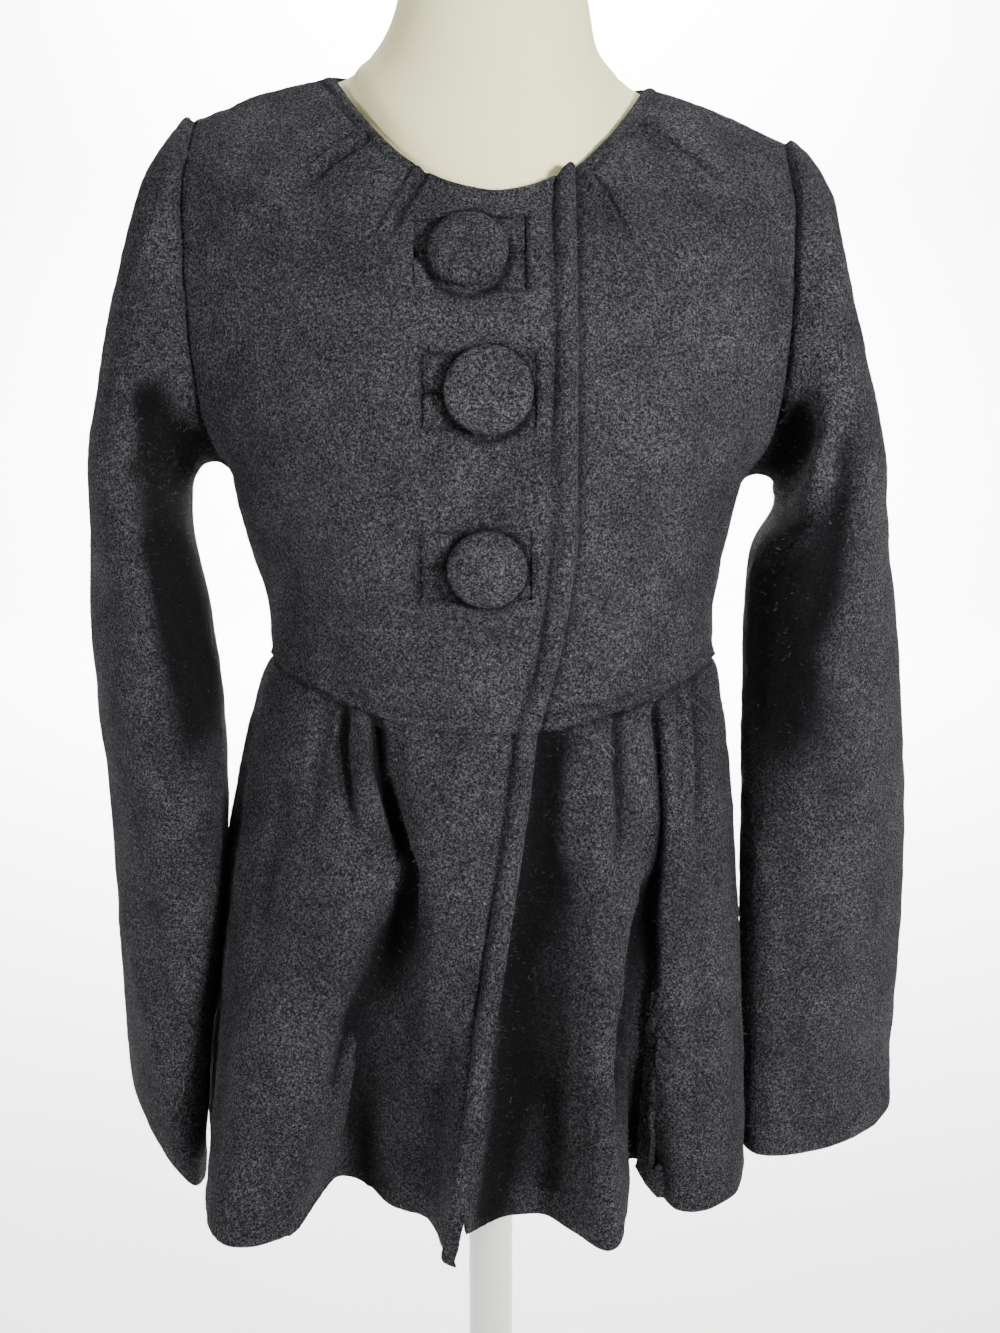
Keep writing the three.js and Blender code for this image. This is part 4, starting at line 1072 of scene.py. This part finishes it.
pointsPerHair = 5
rng = np.random.default_rng(7)
starts, normals = [], []
for o in woolPieces:
    count = len(o.data.vertices)
    no = np.empty(count * 3)
    o.data.vertex_normals.foreach_get("vector", no)
    # the first half of a piece's points are its outer face
    chosen = rng.choice(np.arange(count // 2), size=int(count / 2 / pointsPerHair), replace=False)
    starts.append(coordinates(o)[chosen] * 1000)
    normals.append(no.reshape(-1, 3)[chosen])
starts, normals = np.concatenate(starts), np.concatenate(normals)
away = normals * rng.uniform(0.3, 1.0, (len(starts), 1)) + rng.normal(size=starts.shape) * 0.55
away /= np.linalg.norm(away, axis=1, keepdims=True)
long = rng.uniform(1.4, 3.4, (len(starts), 1))
ribbons("woolHairs", starts - normals * 0.2, away * long, rng.normal(size=starts.shape) * long * 0.35, 0.075, 2,
        strayHair("woolHairLoose", ("#2a292c", "#8a898d")))

lint = table(
    "x y z dx dz bx bz",
    (63, -101, 555, 7, -9, -3, 2),
    (70, -104, 549, -6, 8, 3, 2),
    (-183, -74, 345, -3, -16, 4, 1),
    (-186, -76, 331, 4, -12, -4, 2),
    (55, -68, 868, 9, -6, 2, 4),
    (-221, -36, 423, 4, -9, -2, 2),
    (8, -131, 693, 8, 4, 2, -4),
)
lintStart = np.stack([lint["x"], lint["y"], lint["z"]], 1)
lintWay = np.stack([lint["dx"], -1.5 + 0 * lint["x"], lint["dz"]], 1)
lintBend = np.stack([lint["bx"], -2 + 0 * lint["x"], lint["bz"]], 1)
ribbons("lintThreads", lintStart, lintWay, lintBend, 0.13, 8, strayHair("paleLintFibre", ("#9a999c", "#bdbcbf")))
print("fibres", len(starts))

# studio: a pale floor that sweeps up far behind
sweep = {"front": -4.5, "back": 4.0, "radius": 1.2, "top": 5.0, "half": 5}
profile = [(sweep["front"], 0), (sweep["back"], 0)]
for a in np.linspace(0.1, math.pi / 2, 16):
    profile.append((sweep["back"] + sweep["radius"] * math.sin(a), sweep["radius"] - sweep["radius"] * math.cos(a)))
profile.append((sweep["back"] + sweep["radius"], sweep["top"]))
pick()
bpy.ops.mesh.primitive_grid_add(x_subdivisions=2, y_subdivisions=len(profile) - 1, size=1, location=(0, 0, 0))
floor = bpy.context.object
floor.name = "studioFloor"
spots = [(x, y, z) for y, z in profile for x in (-sweep["half"], 0, sweep["half"])]
floor.data.vertices.foreach_set("co", np.array(spots, float).reshape(-1))
bpy.ops.object.shade_smooth()
paper, paperShader = newMaterial("palePaperSweep")
paperShader.inputs["Base Color"].default_value = rgb("#fbfbfa")
paperShader.inputs["Roughness"].default_value = 0.9
floor.data.materials.append(paper)


def softLight(name, at, target, wide, power, spread=180):
    bpy.ops.object.light_add(type="AREA", location=at)
    light = bpy.context.object
    light.name = name
    light.data.shape = "DISK"
    light.data.size = wide
    light.data.energy = power
    light.data.spread = math.radians(spread)
    way = [t - a for t, a in zip(target, at)]
    down = math.atan2(math.hypot(way[0], way[1]), -way[2])
    light.rotation_euler = (down, 0, math.atan2(way[1], way[0]) - math.pi / 2)
    return light


lights = [
    softLight("rightSoftbox", (1.15, -1.45, 1.0), (0.03, 0, 0.73), 0.45, 9.6, 66),
    softLight("leftSoftbox", (-1.2, -1.3, 0.98), (-0.03, 0, 0.71), 0.5, 2.5, 66),
    softLight("frontFill", (0, -2.4, 0.7), (0, 0, 0.62), 0.8, 5),
    softLight("floorLight", (0, 2.6, 3.6), (0, 2.0, 0), 2.0, 240, 72),
    softLight("sweepLight", (0, 2.9, 4.0), (0, 5.0, 1.2), 2.4, 900, 100),
]
world = bpy.data.worlds.new("studioWorld")
bpy.context.scene.world = world
world.use_nodes = True
world.node_tree.nodes["Background"].inputs["Color"].default_value = rgb("#fdfdfd")
world.node_tree.nodes["Background"].inputs["Strength"].default_value = 0.25

view = {"at": (0.006, -1.15, 0.8), "down": 10.83, "sensor": 36, "lens": 51.84}  # degrees and millimetres
bpy.ops.object.camera_add(location=view["at"], rotation=(math.radians(90 - view["down"]), 0, 0))
camera = bpy.context.object
camera.data.sensor_width = view["sensor"]
camera.data.lens = view["lens"]
bpy.context.scene.camera = camera
